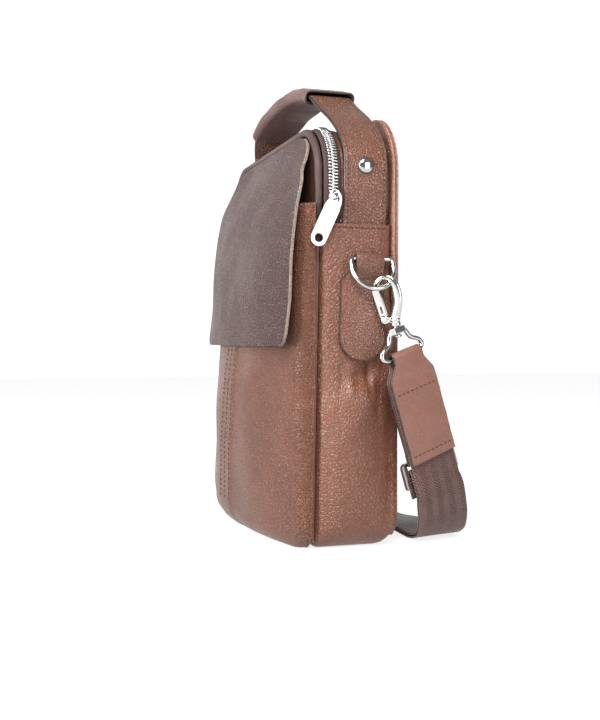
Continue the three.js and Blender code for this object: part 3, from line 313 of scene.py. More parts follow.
def turned_rings(profile, origin, axis, around):
    """Rings of a profile of (radius, height) turned about an axis."""
    axis = unit(np.array(axis, float))
    side = unit(np.cross(axis, vec(0.3, 0.8, 0.5)))
    other = np.cross(axis, side)
    angles = np.linspace(0, 2 * math.pi, around, endpoint=False)
    return [[origin + axis * h + side * r * math.cos(a) + other * r * math.sin(a) for a in angles]
            for r, h in profile]


def lathe(name, profile, origin, axis, looks, around=32, **more):
    return loft(name, turned_rings(profile, origin, axis, around), looks, **more)


def round_section(width, thick, radius=None, per=8):
    """Points round a rectangle with rounded corners, starting on its right side."""
    radius = min(width, thick) / 2 - 1e-3 if radius is None else radius
    w, t = width / 2 - radius, thick / 2 - radius
    return np.array(arc(w, t, radius, 0, 90, per) + arc(-w, t, radius, 90, 180, per)
                    + arc(-w, -t, radius, 180, 270, per) + arc(w, -t, radius, 270, 360, per))


def wire(line, radius, a_axis, count=120, around=16, closed=True):
    """Rings of a round wire along a line that lies in a plane; a_axis is square to that plane."""
    s = np.linspace(0, line.length, count, endpoint=not closed)
    rings = []
    angles = np.linspace(0, 2 * math.pi, around, endpoint=False)
    for at in s:
        if closed:
            t = unit(line.at((at + 0.2) % line.length) - line.at((at - 0.2) % line.length))
        else:
            t = line.along(at)
        b = unit(np.cross(a_axis, t))
        p = line.at(at)
        rings.append([p + radius * (a_axis * math.cos(g) + b * math.sin(g)) for g in angles])
    return np.array(rings)


def ring_piece(name, line, radius, a_axis, looks, **more):
    rings = wire(line, radius, a_axis)
    count, around = rings.shape[:2]
    points = rings.reshape(-1, 3)
    faces = []
    for i in range(count):
        for j in range(around):
            k, n = (j + 1) % around, (i + 1) % count
            faces.append((i * around + j, i * around + k, n * around + k, n * around + j))
    return piece(name, points, outward(points, faces), looks, **more)


# Finishes
class Wiring:
    """Makes nodes in a tree and joins their sockets."""

    def __init__(self, tree):
        self.tree = tree

    def feed(self, socket, value):
        if isinstance(value, bpy.types.NodeSocket):
            self.tree.links.new(value, socket)
        else:
            socket.default_value = value

    def node(self, kind, inputs=(), **settings):
        made = self.tree.nodes.new(kind)
        for key, value in settings.items():
            setattr(made, key, value)
        for key, value in dict(inputs).items():
            self.feed(made.inputs[key], value)
        return made

    def math(self, operation, a, b):
        return self.node("ShaderNodeMath", {0: a, 1: b}, operation=operation).outputs[0]

    def span(self, value, low, high, to_low=0.0, to_high=1.0):
        node = self.node("ShaderNodeMapRange", {"Value": value, "From Min": low, "From Max": high,
                                                "To Min": to_low, "To Max": to_high},
                         interpolation_type="SMOOTHSTEP")
        return node.outputs["Result"]

    def mix(self, share, a, b):
        return self.node("ShaderNodeMix", {0: share, 6: a, 7: b}, data_type="RGBA").outputs[2]


def group(name, inputs, outputs):
    """A node group with named inputs and outputs, and its wiring."""
    tree = bpy.data.node_groups.new(name, "ShaderNodeTree")
    for label, kind, value in inputs:
        socket = tree.interface.new_socket(name=label, in_out="INPUT", socket_type=kind)
        socket.default_value = value
    for label, kind in outputs:
        tree.interface.new_socket(name=label, in_out="OUTPUT", socket_type=kind)
    wiring = Wiring(tree)
    return tree, wiring, wiring.node("NodeGroupInput"), wiring.node("NodeGroupOutput")


NUMBER, TINT = "NodeSocketFloat", "NodeSocketColor"


def make_grain():
    """Cells of leather grain, domed between fine creases."""
    tree, w, given, result = group(
        "leather grain",
        [("Cell", NUMBER, 1.3), ("Crease", NUMBER, 0.2), ("Fine", NUMBER, 0.2), ("Stretch", NUMBER, 1.0)],
        [("Height", NUMBER), ("Crease mask", NUMBER)])
    place = w.node("ShaderNodeTexCoord").outputs["Object"]
    per_metre = w.math("DIVIDE", 1000.0, given.outputs["Cell"])
    stretched = w.node("ShaderNodeVectorMath", {0: place, 1: (1, 1, 1)}, operation="MULTIPLY")
    axes = w.node("ShaderNodeCombineXYZ", {"X": 1.0, "Y": 1.0, "Z": given.outputs["Stretch"]})
    w.tree.links.new(axes.outputs[0], stretched.inputs[1])
    sized = w.node("ShaderNodeVectorMath", {0: stretched.outputs[0], "Scale": per_metre}, operation="SCALE")
    drift = w.node("ShaderNodeTexNoise", {"Vector": sized.outputs[0], "Scale": 0.6, "Detail": 2.0})
    pushed = w.node("ShaderNodeVectorMath", {0: drift.outputs["Color"], "Scale": 0.7}, operation="SCALE")
    moved = w.node("ShaderNodeVectorMath", {0: sized.outputs[0], 1: pushed.outputs[0]}, operation="ADD")
    cells = w.node("ShaderNodeTexVoronoi", {"Vector": moved.outputs[0], "Scale": 1.0},
                   feature="DISTANCE_TO_EDGE")
    dome = w.node("ShaderNodeMapRange", {"Value": cells.outputs["Distance"], "From Min": 0.0,
                                         "From Max": given.outputs["Crease"]},
                  interpolation_type="SMOOTHSTEP")
    fine = w.node("ShaderNodeTexNoise", {"Vector": sized.outputs[0], "Scale": 3.5, "Detail": 3.0})
    fine_part = w.math("MULTIPLY", fine.outputs["Fac"], given.outputs["Fine"])
    height = w.math("ADD", dome.outputs["Result"], fine_part)
    w.tree.links.new(height, result.inputs["Height"])
    w.tree.links.new(w.math("SUBTRACT", 1.0, dome.outputs["Result"]), result.inputs["Crease mask"])
    return tree


def make_tone_and_crease_shade():
    """Uneven dye: darker clouds and paler rubbed patches, plus painted shade that darkens the grain's
    creases.
    """
    tree, w, given, result = group(
        "uneven dye and crease shade",
        [("Base", TINT, (0.5, 0.3, 0.2, 1)), ("Dark", TINT, (0.2, 0.1, 0.1, 1)),
         ("Pale", TINT, (0.7, 0.5, 0.4, 1)), ("Crease", NUMBER, 0.0), ("Depth", NUMBER, 0.6),
         ("Cloud", NUMBER, 18.0)],
        [("Color", TINT), ("Rub", NUMBER)])
    place = w.node("ShaderNodeTexCoord").outputs["Object"]
    cloud = w.node("ShaderNodeTexNoise", {"Vector": place, "Scale": given.outputs["Cloud"], "Detail": 5.0,
                                          "Roughness": 0.6})
    share = w.span(cloud.outputs["Fac"], 0.35, 0.7)
    tone = w.mix(w.math("MULTIPLY", share, 0.45), given.outputs["Base"], given.outputs["Pale"])
    wide = w.node("ShaderNodeTexNoise", {"Vector": place, "Scale": 7.0, "Detail": 2.0})
    shade = w.span(wide.outputs["Fac"], 0.45, 0.75)
    tone = w.mix(w.math("MULTIPLY", shade, 0.3), tone, given.outputs["Dark"])
    # Painted shade: the grain's creases are pulled towards the dark tint by the crease shade amount.
    crease_shade = w.math("MULTIPLY", given.outputs["Crease"], given.outputs["Depth"])
    tone = w.mix(crease_shade, tone, given.outputs["Dark"])
    w.tree.links.new(tone, result.inputs["Color"])
    w.tree.links.new(share, result.inputs["Rub"])
    return tree


def make_twill():
    """Herringbone weave in strips, along the surface's own across and along directions."""
    tree, w, given, result = group(
        "herringbone weave",
        [("Strip", NUMBER, 6.0), ("Pitch", NUMBER, 1.6), ("Rise", NUMBER, 0.9)],
        [("Height", NUMBER), ("Thread mask", NUMBER)])
    place = w.node("ShaderNodeTexCoord").outputs["UV"]
    parts = w.node("ShaderNodeSeparateXYZ", {"Vector": place})
    across = w.math("MULTIPLY", parts.outputs["X"], 1000.0)
    along = w.math("MULTIPLY", parts.outputs["Y"], 1000.0)
    zigzag = w.math("PINGPONG", across, given.outputs["Strip"])
    slope = w.math("MULTIPLY", zigzag, given.outputs["Rise"])
    phase = w.math("DIVIDE", w.math("ADD", along, slope), given.outputs["Pitch"])
    rib = w.math("PINGPONG", phase, 0.5)
    raised = w.span(rib, 0.05, 0.4)
    yarn = w.math("PINGPONG", w.math("DIVIDE", w.math("SUBTRACT", along, slope), 0.55), 0.5)
    height = w.math("ADD", raised, w.math("MULTIPLY", yarn, 0.35))
    w.tree.links.new(height, result.inputs["Height"])
    w.tree.links.new(raised, result.inputs["Thread mask"])
    return tree


def make_wear():
    """Fine random marks for polished or painted surfaces."""
    tree, w, given, result = group(
        "handling marks", [("Size", NUMBER, 60.0), ("Low", NUMBER, 0.15), ("High", NUMBER, 0.35)],
        [("Roughness", NUMBER), ("Height", NUMBER)])
    place = w.node("ShaderNodeTexCoord").outputs["Object"]
    noise = w.node("ShaderNodeTexNoise", {"Vector": place, "Scale": given.outputs["Size"], "Detail": 6.0,
                                          "Roughness": 0.65})
    rough = w.node("ShaderNodeMapRange", {"Value": noise.outputs["Fac"], "From Min": 0.3, "From Max": 0.7,
                                          "To Min": given.outputs["Low"], "To Max": given.outputs["High"]})
    w.tree.links.new(rough.outputs["Result"], result.inputs["Roughness"])
    w.tree.links.new(noise.outputs["Fac"], result.inputs["Height"])
    return tree


grain, tone_and_crease_shade, twill, wear = make_grain(), make_tone_and_crease_shade(), make_twill(), make_wear()


def srgb(r, g, b):
    """A colour as seen, 0 to 255, as the shader's linear values."""
    def linear(c):
        c /= 255
        return c / 12.92 if c <= 0.04045 else ((c + 0.055) / 1.055) ** 2.4
    return linear(r), linear(g), linear(b), 1.0


def material(name):
    made = bpy.data.materials.new(name)
    made.use_nodes = True
    w = Wiring(made.node_tree)
    surface = next(n for n in made.node_tree.nodes if n.type == "BSDF_PRINCIPLED")
    made.diffuse_color = (0.5, 0.4, 0.35, 1)
    return made, w, surface


def placed(w, tree, **values):
    node = w.node("ShaderNodeGroup")
    node.node_tree = tree
    for key, value in values.items():
        w.feed(node.inputs[key], value)
    return node


def bump(w, surface, height, distance):
    node = w.node("ShaderNodeBump", {"Height": height, "Distance": distance * MM, "Strength": 1.0})
    w.tree.links.new(node.outputs["Normal"], surface.inputs["Normal"])


def leather(name, base, dark, pale, cell=1.3, crease=0.18, relief=0.16, rough=(0.38, 0.55), depth=0.6,
            fine=0.2, stretch=1.0, cloud=18.0, specular=0.5):
    made, w, surface = material(name)
    cells = placed(w, grain, Cell=cell, Crease=crease, Fine=fine, Stretch=stretch)
    # The colour is uneven dye plus painted shade in the grain's creases; depth sets how dark that painted
    # shade is.
    tone_with_crease_shade = placed(w, tone_and_crease_shade, Base=srgb(*base), Dark=srgb(*dark), Pale=srgb(*pale),
                 Crease=cells.outputs["Crease mask"], Depth=depth, Cloud=cloud)
    w.tree.links.new(tone_with_crease_shade.outputs["Color"], surface.inputs["Base Color"])
    spread = w.span(tone_with_crease_shade.outputs["Rub"], 0.0, 1.0, rough[1], rough[0])
    w.tree.links.new(spread, surface.inputs["Roughness"])
    bump(w, surface, cells.outputs["Height"], relief)
    surface.inputs["Specular IOR Level"].default_value = specular
    return made


def coated(name, colour, dark, rough=(0.3, 0.5), metal=0.0, size=60.0, relief=0.0):
    """Painted edges, thread, cut leather and metal."""
    made, w, surface = material(name)
    marks = placed(w, wear, Size=size, Low=rough[0], High=rough[1])
    tone = w.mix(w.span(marks.outputs["Height"], 0.35, 0.65), srgb(*dark), srgb(*colour))
    w.tree.links.new(tone, surface.inputs["Base Color"])
    w.tree.links.new(marks.outputs["Roughness"], surface.inputs["Roughness"])
    surface.inputs["Metallic"].default_value = metal
    if relief:
        bump(w, surface, marks.outputs["Height"], relief)
    return made


def woven(name, colour, dark, strip, pitch, rise=0.9, relief=0.25, rough=0.6, sheen=0.25):
    made, w, surface = material(name)
    weave = placed(w, twill, Strip=strip, Pitch=pitch, Rise=rise)
    # Painted shade: the weave is coloured dark between the raised threads, in its grooves.
    tone = w.mix(weave.outputs["Thread mask"], srgb(*dark), srgb(*colour))
    w.tree.links.new(tone, surface.inputs["Base Color"])
    surface.inputs["Roughness"].default_value = rough
    surface.inputs["Sheen Weight"].default_value = sheen
    surface.inputs["Sheen Roughness"].default_value = 0.35
    bump(w, surface, weave.outputs["Height"], relief)
    return made


side_leather = leather("pebbled brown leather", (100, 58, 39), (58, 33, 23), (122, 77, 56), cell=2.2,
                       crease=0.24, relief=0.27, rough=(0.31, 0.41), depth=0.45)
back_leather = leather("padded back leather", (108, 70, 56), (76, 48, 38), (146, 104, 88), cell=1.9,
                       crease=0.2, relief=0.38, rough=(0.32, 0.45), depth=0.4)
pouch_leather = leather("pouch leather", (94, 55, 38), (52, 30, 22), (120, 75, 56), cell=2.1, crease=0.24,
                        relief=0.6, rough=(0.28, 0.38), stretch=1.5, depth=0.35, specular=0.42)
flap_leather = leather("flap leather", (100, 61, 52), (44, 27, 25), (118, 78, 70), cell=3.4, crease=0.36,
                       relief=2.0, rough=(0.32, 0.44), stretch=2.1, depth=1.0, specular=0.38)
grip_leather = leather("grip leather", (92, 60, 52), (44, 28, 25), (114, 78, 70), cell=1.8, relief=0.45,
                       depth=0.5)
roll_leather = leather("rolled edge leather", (68, 46, 42), (34, 23, 22), (88, 64, 60), cell=1.2,
                       relief=0.2)
handle_leather = leather("handle leather", (102, 63, 46), (58, 36, 28), (120, 81, 65), cell=1.9,
                         crease=0.2, relief=0.5, rough=(0.27, 0.37), depth=0.4)
tab_leather = leather("ring tab leather", (102, 62, 45), (58, 36, 28), (120, 80, 64), cell=1.7,
                      relief=0.45, rough=(0.28, 0.38), depth=0.4)
end_leather = leather("strap end leather", (122, 81, 67), (86, 56, 46), (138, 96, 82), cell=0.9,
                      crease=0.25, relief=0.14, depth=0.25, rough=(0.34, 0.44), cloud=40.0)
edge_paint = coated("painted edge", (48, 37, 34), (34, 26, 25), rough=(0.3, 0.45), size=250.0, relief=0.1)
raw_edge = coated("raw cut edge", (132, 118, 106), (88, 76, 68), rough=(0.7, 0.9), size=900.0, relief=0.2)
dark_thread = coated("dark thread", (60, 38, 32), (34, 22, 19), rough=(0.5, 0.7), size=900.0)
pale_edge = coated("pale edge line", (156, 112, 98), (118, 78, 64), rough=(0.5, 0.7), size=500.0)
wall_leather = coated("front wall leather", (98, 62, 48), (72, 45, 35), rough=(0.5, 0.7), size=300.0)
lining = coated("dark lining", (52, 44, 44), (38, 32, 32), rough=(0.7, 0.9), size=300.0)
nickel = coated("polished nickel", (196, 195, 192), (178, 177, 175), rough=(0.1, 0.2), metal=1.0,
                size=120.0)
teeth_nickel = coated("zip teeth nickel", (214, 214, 212), (180, 180, 180), rough=(0.18, 0.32), metal=1.0,
                      size=400.0)
tape_cloth = woven("zip tape cloth", (82, 58, 54), (28, 19, 19), strip=2.2, pitch=1.5, relief=0.4,
                   sheen=0.05)
webbing_cloth = woven("strap webbing", (100, 66, 56), (48, 29, 24), strip=4.75, pitch=1.9, relief=0.5,
                      rough=0.42, sheen=0.05)


# Stitches: short bowed lengths of thread pressed into the leather at both ends
def stitches(name, rows, look, pitch=3.6, length=2.9, thick=0.6, flip=False, body="bag"):
    """Rows are (line, lift): lift gives the outward direction at lengths along the line."""
    around, steps = 6, 7
    angles = np.linspace(0, 2 * math.pi, around, endpoint=False)
    points, faces = [], []
    for line, lift in rows:
        count = max(1, int(line.length / pitch))
        for i in range(count):
            middle = (i + 0.5) * line.length / count
            middle += rng.uniform(-0.12, 0.12)
            p = line.at(middle)
            t = line.along(middle, 0.8)
            n = np.array(lift(middle), float)
            n = unit(n - t * np.dot(n, t))
            b = np.cross(t, n)
            b_turn = rng.uniform(-0.05, 0.05)
            t = unit(t + b * b_turn)
            b = np.cross(t, n)
            start = len(points)
            for k in range(steps):
                x = -1 + 2 * k / (steps - 1)
                fat = thick / 2 * math.sqrt(max(0.06, 1 - abs(x) ** 3))
                rise = thick * (0.28 - 0.62 * x * x)
                centre = p + t * (x * length / 2) + n * rise
                points.extend(centre + fat * (b * math.cos(a) + n * math.sin(a) * 0.8) for a in angles)
            faces += grid(steps, around, ring=True, start=start)
            faces.append(tuple(range(start, start + around))[::-1])
            last = start + (steps - 1) * around
            faces.append(tuple(range(last, last + around)))
    return piece(name, points, faces, look, flip=flip, body=body)


def steady(*direction):
    way = vec(*direction)
    return lambda s: way


# Upper gusset, zip tape, piping and teeth follow one arch; it dips where the side panel covers it
def arch(half, top, radius, foot):
    return fine_line([(half, foot), (half, top - radius)] + arc(half - radius, top - radius, radius, 0, 90))


def tuck(z):
    return (half_gusset - tucked_half) * (1 - smooth((z - panel_top - 2) / tuck_blend))


def on_arch(line, s, y, rise):
    """Points at a length along the arch, at depth y and height rise above its face."""
    p, t = line.at(s), line.along(s)
    out = rise - tuck(p[..., 1])
    return np.stack([p[..., 0] + t[..., 1] * out, y + 0 * out, p[..., 1] - t[..., 0] * out], -1)


def band(name, section, line, looks, ripple=None, **more):
    """A section of (y, rise) swept along an arch."""
    y, level = np.array(section, float).T
    rings = []
    for s in np.linspace(0, line.length, int(line.length / 2)):
        rise = level + ripple(s, y, level) if ripple else level
        rings.append(on_arch(line, np.full(len(y), s), y, rise))
    return loft(name, rings, looks, **more)


upper = arch(half_gusset, gusset_top, gusset_corner, gusset_foot)
tape_arch = arch(half_gusset, gusset_top, gusset_corner, panel_top)


def strip_ripple(s, y, rise):
    return 0.25 * np.sin(s / 21.0 + y / 9.0) * (rise > -0.9)


front_fold = [(-9.9, -1.5), (-10.0, -0.4), (-9.6, 0.35), (-8.8, 0.55), (-7.9, 0.3), (-7.2, -0.05),
              (-6.0, -0.1)]
back_fold = [(22.0, -0.1), (23.2, -0.4), (23.6, -0.9), (23.2, -1.5)]
strip_section = front_fold + [(y, -0.1) for y in (-3, 0, 4, 9, 14, 18)] + back_fold
band("gusset_leather", strip_section[::-1], upper, handle_leather, ripple=strip_ripple, slot="leather",
     stands_for=["gusset_strip"])


def arch_row(line, y, rise, start, end):
    s = np.linspace(start, end, int((end - start) / 2))
    return Line(on_arch(line, s, np.full(len(s), y), np.full(len(s), rise)))


def arch_lift(row):
    def lift(s):
        p = row.at(s)
        return vec(p[0] * 0.02 if p[2] > gusset_top - 1 else np.sign(p[0]), 0,
                   1.0 if p[2] > gusset_top - gusset_corner else 0.0)
    return lift


gusset_row = arch_row(upper, -6.6, 0.0, 6, upper.length - 6)
stitches("gusset_stitches", [(gusset_row, arch_lift(gusset_row))], dark_thread)

tape_front = -21.6
tape_flat = [(y, 0.0) for y in np.linspace(tape_back, tape_front, 12)]
tape_under = [(y, -0.9) for y in np.linspace(tape_front, tape_back, 6)]
band("zip_tape_cloth", tape_flat + tape_under, tape_arch, tape_cloth, slot="zip_tape",
     stands_for=["zip_tape"])
roll = [(bead_line + bead_radius * math.cos(a), bead_radius * (math.sin(a) - 1))
        for a in np.linspace(0, 2 * math.pi, 20, endpoint=False)]
band("rolled_edge", roll, tape_arch, roll_leather, slot="zip_tape",
     ripple=lambda s, y, rise: 0.12 * np.sin(s / 5.3) * (rise > -bead_radius))


def zip_teeth():
    """Two columns of interlocked teeth, each a small rounded block."""
    line = arch(half_gusset, gusset_top, gusset_corner, chain_foot)
    pitch, half = 1.02, chain_width / 2
    # Place along a tooth, its size there, and how far it is sunk
    rows = [(half, 0.72, 0.35), (half - 0.5, 0.95, 0.1), (0.5, 0.95, 0.0), (-0.35, 0.8, 0.15),
            (-0.75, 0.45, 0.35)]
    block = round_section(1.0, 1.0, 0.28, 3)
    around = len(block)
    points, faces = [], []
    for i in range(int((line.length - 1.2) / pitch)):
        s = 0.9 + i * pitch
        side = 1 if i % 2 else -1
        start = len(points)
        for y, size, low in rows:
            for a, b in block:
                rise = gap + low * 0.5 + (0.5 + b * size) * (chain_height - 0.3) * (1 - 0.2 * low)
                place = on_arch(line, np.array([s + a * 1.25 * size]), np.array([chain_line + side * y]),
                                np.array([rise]))
                points.append(place[0])
        faces += grid(len(rows), around, ring=True, start=start, turned=side > 0)
        last = start + (len(rows) - 1) * around
        ends = tuple(range(start, start + around)), tuple(range(last, last + around))
        faces += [ends[0], ends[1][::-1]] if side > 0 else [ends[0][::-1], ends[1]]
    piece("zip_teeth", points, faces, teeth_nickel, slot="nickel", stands_for=["zip_chain"])


zip_teeth()


# Side and base panel, one band round the sides and the base
def seam(z):
    return seam_bottom + (seam_top - seam_bottom) * np.clip(z / pouch_top, 0, 1)


swell_rows = [(0, 0), (0.1, 0.4), (0.22, 0.8), (0.36, 1), (0.46, 0.92), (0.535, 0.05), (0.6, 0)]
# Creases: place across and up as shares, spread each way, turn in degrees, and depth in millimetres
side_creases = [
    (0.62, 0.535, 0.3, 0.03, 6, -2.6), (0.6, 0.482, 0.34, 0.035, -5, 1.7), (0.86, 0.52, 0.14, 0.05, 40, -1.8),
    (0.3, 0.52, 0.12, 0.05, 55, -1.3), (0.42, 0.5, 0.05, 0.03, 30, 1.0), (0.75, 0.44, 0.08, 0.02, -25, -0.9),
    (0.8, 0.38, 0.05, 0.18, 4, -0.9), (0.35, 0.36, 0.3, 0.05, 14, 0.9), (0.55, 0.24, 0.35, 0.03, -8, -0.6),
    (0.2, 0.2, 0.06, 0.3, 0, 0.5), (0.7, 0.1, 0.3, 0.05, -14, -0.7), (0.5, 0.9, 0.5, 0.03, 5, -0.4),
    (0.12, 0.75, 0.07, 0.12, 0, 0.7), (0.9, 0.8, 0.06, 0.1, 0, -0.5),
]


def crease_sum(rows, u, v):
    total = 0 * u
    for cu, cv, su, sv, turn, depth in rows:
        c, s = math.cos(math.radians(turn)), math.sin(math.radians(turn))
        du, dv = u - cu, (v - cv)
        a, b = du * c + dv * s, -du * s + dv * c
        total = total + depth * np.exp(-(a / su) ** 2 - (b / sv) ** 2)
    return total


def side_out(y, z):
    across = np.clip((y - seam(z)) / (back_seam - seam(z)), 0, 1)
    level = z / panel_top
    full = side_bulge * read(swell_rows, 1, level) * np.sin(math.pi * across) ** 1.3
    away = (across - 0.68) ** 2 + (level - 0.53) ** 2
    covered = np.exp(-((across - 0.58) / 0.34) ** 4) * smooth((level - 0.575) / 0.02)
    folds = crease_sum(side_creases, across, level) * np.sin(math.pi * across) ** 0.5 * (1 - covered)
    rolled = 2.6 * (1 - smooth(across / 0.34)) + 1.4 * (1 - smooth((1 - across) / 0.2))
    return full - side_bulge * 0.35 * np.exp(-away / 0.04 ** 2) + folds - rolled


panel_line = fine_line([(half_body, panel_top), (half_body, panel_corner)]
                       + arc(half_body - panel_corner, panel_corner, panel_corner, 0, -90, 16))


lap, lap_top = 4.8, 172.0
front_turn, back_turn = 0.14, 0.9


def wrap(z):
    """Low down, the side leather laps the back panel's edge."""
    return lap * smooth((lap_top - z) / 45) * (0.2 + 0.8 * smooth(z / 18))


def panel_point(s, share, wall):
    """Side panel at a length along its track; share runs from the front seam to the back one."""
    p, t = panel_line.at(s), panel_line.along(s, 0.3)
    nx, nz = -t[..., 1], t[..., 0]
    sideways = abs(nx)
    back = back_edge + (back_base - back_edge) * (1 - sideways)
    front = seam(p[..., 1]) + gap
    end = back_seam - gap + wrap(p[..., 1])
    if share < front_turn:
        angle = share / front_turn * math.pi / 2
        radius = front_edge - wall
        y = front + front_edge - radius * math.cos(angle)
        out = radius * math.sin(angle) - front_edge
    elif share > back_turn:
        angle = (1 - share) / (1 - back_turn) * math.pi / 2
        radius = back - wall
        y = end - back + radius * math.cos(angle)
        out = radius * math.sin(angle) - back
    else:
        flat = (share - front_turn) / (back_turn - front_turn)
        y = front + front_edge + flat * (end - back - front - front_edge)
        out = -wall
    out = out + side_out(y, p[..., 1]) * sideways ** 4
    hem = 0.45 * smooth((p[..., 1] - (panel_top - 7.5)) / 1.2) * (sideways > 0.9)
    out = out + hem * (1 if wall == 0 else 0) * min(1, share / 0.1)
    return np.stack([p[..., 0] + nx * out, y + 0 * out, p[..., 1] + nz * out], -1)


def make_side_panel():
    s = np.linspace(0, panel_line.length, 330)
    shares = np.concatenate([np.linspace(0, front_turn, 7), np.linspace(0.16, 0.88, 36),
                             np.linspace(back_turn, 1, 6)])
    outer = [panel_point(s, u, 0) for u in shares]
    inner = [panel_point(s, u, panel_wall) for u in (1, 0.95, 0.9, 0.7, 0.5, 0.3, 0.14, 0.07, 0)]
    rings = np.array(outer + inner).transpose(1, 0, 2)
    loft("side_and_base", rings, side_leather, slot="leather", stands_for=["side_base_panel"], bevel=0.6)


make_side_panel()
hem_drop = 2.3
for label, flip in both_sides:
    top_row = Line([panel_point(hem_drop, u, 0) + vec(0.4, 0, 0) for u in np.linspace(0.16, 0.88, 30)])
    stitches(f"panel_stitches_{label}", [(top_row, steady(1, 0, 0))], dark_thread, flip=flip)


def slab(name, outer, inner, looks, **more):
    """A sheet between two grids of points; its faces take the first two looks and its edges the last."""
    outer, inner = np.array(outer, float), np.array(inner, float)
    rows, cols = outer.shape[:2]
    total = rows * cols
    front = grid(rows, cols)
    back = grid(rows, cols, start=total, turned=True)
    rim = list(range(cols)) + [i * cols + cols - 1 for i in range(1, rows)]
    rim += [(rows - 1) * cols + j for j in range(cols - 2, -1, -1)]
    rim += [i * cols for i in range(rows - 2, 0, -1)]
    edge = [(b, a, a + total, b + total) for a, b in zip(rim, rim[1:] + rim[:1])]
    marks = [0] * len(front) + [1] * len(back) + [2] * len(edge)
    points = np.concatenate([outer.reshape(-1, 3), inner.reshape(-1, 3)])
    return piece(name, points, outward(points, front + back + edge), looks, marks=marks, **more)


# Back panel: two faces with padding between, pinched together along a stitched edge
def back_outline(inset):
    half, low, high = half_body - inset, 1 + inset, back_rise - inset
    foot = max(1.0, back_foot - inset)
    round_top = max(2.0, back_corner - inset)
    corners = [arc(half - foot, low + foot, foot, -90, 0, 8),
               arc(half - round_top, high - round_top, round_top, 0, 90, 18),
               arc(round_top - half, high - round_top, round_top, 90, 180, 18),
               arc(foot - half, low + foot, foot, 180, 270, 8)]
    points = []
    for here, ahead, count in zip(corners, corners[1:] + corners[:1], (60, 50, 60, 50)):
        points += here + between(here[-1], ahead[0], count)[:-1]
    return np.array(points)


def back_ring(inset, y, puff=0.0):
    rim = back_outline(inset)
    x, z = rim.T
    wave = puff * (0.3 * np.sin(z / 17) * np.sin(x / 23) + 0.2 * np.sin(z / 7.3 + x / 9))
    reach = half_body - 0.65 * wrap(z)
    return np.stack([np.clip(x, -reach, reach), y + wave, np.maximum(z, 6.0)], -1)


# Each row is a distance in from the edge and the depth there, from the front face round to the back one
back_profile = [(110, 24.3), (70, 24.3), (30, 24.3), (6, 24.3), (2, 24.4), (0.7, 24.8), (0.1, 25.6),
                (0, 26.2), (0.35, 26.8), (0, 27.4), (0.1, 28.0), (0.8, 28.9), (2.5, 29.4), (4.6, 29.2),
                (5.6, 28.5), (6.8, 29.5), (9, 30.9), (13, 32.1), (20, 33.2), (34, 34.0), (50, 34.2),
                (60, 34.3), (70, 34.4), (80, 34.4), (90, 34.4), (100, 34.4), (110, 34.4)]
back_rings = [back_ring(inset, y, 1.0 if y > 29.4 and inset > 6 else 0.0) for inset, y in back_profile]
back_piece = loft("back_panel_padded", back_rings[::-1], back_leather, slot="leather",
                  stands_for=["back_panel"])
# Two thin pale lines run along the upper part of the back panel's edge, one on each side of its pinch.
for label, y in (("front", 25.7), ("back", 28.1)):
    rim = back_ring(0.2, y)
    bead = wire(Line(rim[rim[:, 2] > 168]), 0.35, vec(0, 1, 0), count=300, around=6, closed=False)
    loft(f"back_edge_line_{label}", bead, pale_edge)
sewn = back_ring(5.6, 28.6)
back_row = Line(np.concatenate([sewn, sewn[:1]]))
stitches("back_stitches", [(back_row, steady(0, 1, 0))], dark_thread)


# Front pouch: one cup of leather with a folded rim and a band with three rows of stitches down its middle
# Each row is a share of its height, then how far it stands out at its side and in its middle
pouch_rows = [(0, 13, 32), (0.07, 13.3, 33), (0.2, 14, 33.5), (0.4, 15, 33), (0.6, 15.5, 29),
              (0.71, 15.7, 26.8), (0.85, 16, 23.4), (0.93, 15.3, 20), (1, 14.2, 16.6)]
pouch_flat, pouch_side = 0.65, 0.85
turns = np.unique(np.concatenate([np.linspace(0, 0.07, 4), np.linspace(0.08, pouch_flat, 40),
                                  np.linspace(pouch_flat, pouch_side, 12), np.linspace(pouch_side, 1, 9)]))
turns = np.concatenate([-turns[:0:-1], turns])
centre_rows = (-11.5, 0.0, 11.5)


def pouch_point(turn, z, inset):
    level = z / pouch_top
    around = pouch_base - inset
    below = np.clip((pouch_base - z) / around, 0, 1)
    drawn = around * (1 - math.sqrt(1 - below ** 2)) + inset
    half = pouch_width / 2 - drawn
    back = min(seam(z) - front_wall_thickness, bead_line - bead_radius) - gap
    sunk = inset + (drawn - inset) * 0.25
    side = read(pouch_rows, 1, level) - sunk + back - seam(z)
    middle = read(pouch_rows, 2, level) - drawn + back - seam(z)
    corner = min(pouch_corner, side - 1)
    t = abs(turn)
    if t > pouch_side:
        share = (t - pouch_side) / (1 - pouch_side)
        x = half + pouch_swell * math.sin(math.pi * share) - pouch_swell
        y = back - (side - corner) * (1 - share)
        n = (0.9, -0.1)
    elif t > pouch_flat:
        a = (t - pouch_flat) / (pouch_side - pouch_flat) * math.pi / 2
        x = half - pouch_swell - corner + corner * math.sin(a)
        y = back - side + corner - corner * math.cos(a)
        n = (math.sin(a), -math.cos(a))
    else:
        x = (half - pouch_swell - corner) * t / pouch_flat
        y = back - side - (middle - side) * (1 - (t / pouch_flat) ** 2.4)
        n = (0, -1)
    x *= np.sign(turn)
    out = 0.0
    if inset == 0:
        band_rise = 0.9 * (smooth((15.5 - abs(x)) / 1.6) if t < pouch_flat else 0)
        hem = 0.5 * smooth((z - (pouch_top - 6.5)) / 1.2) - 0.5 * smooth((z - pouch_top + 1) / 1.0)
        fold = 0.5 * math.sin(z / 19 + x / 31) * math.sin(z / 41 - x / 17) + 0.25 * math.sin(z / 7.5 + x / 23)
        crease = crease_sum(pouch_creases, np.array(turn), np.array(level))
        out = band_rise + hem + (fold * min(1, (1 - t) / 0.15) + float(crease)) * (1 - below)
    return vec(x + n[0] * np.sign(turn) * out, y + n[1] * out, z)


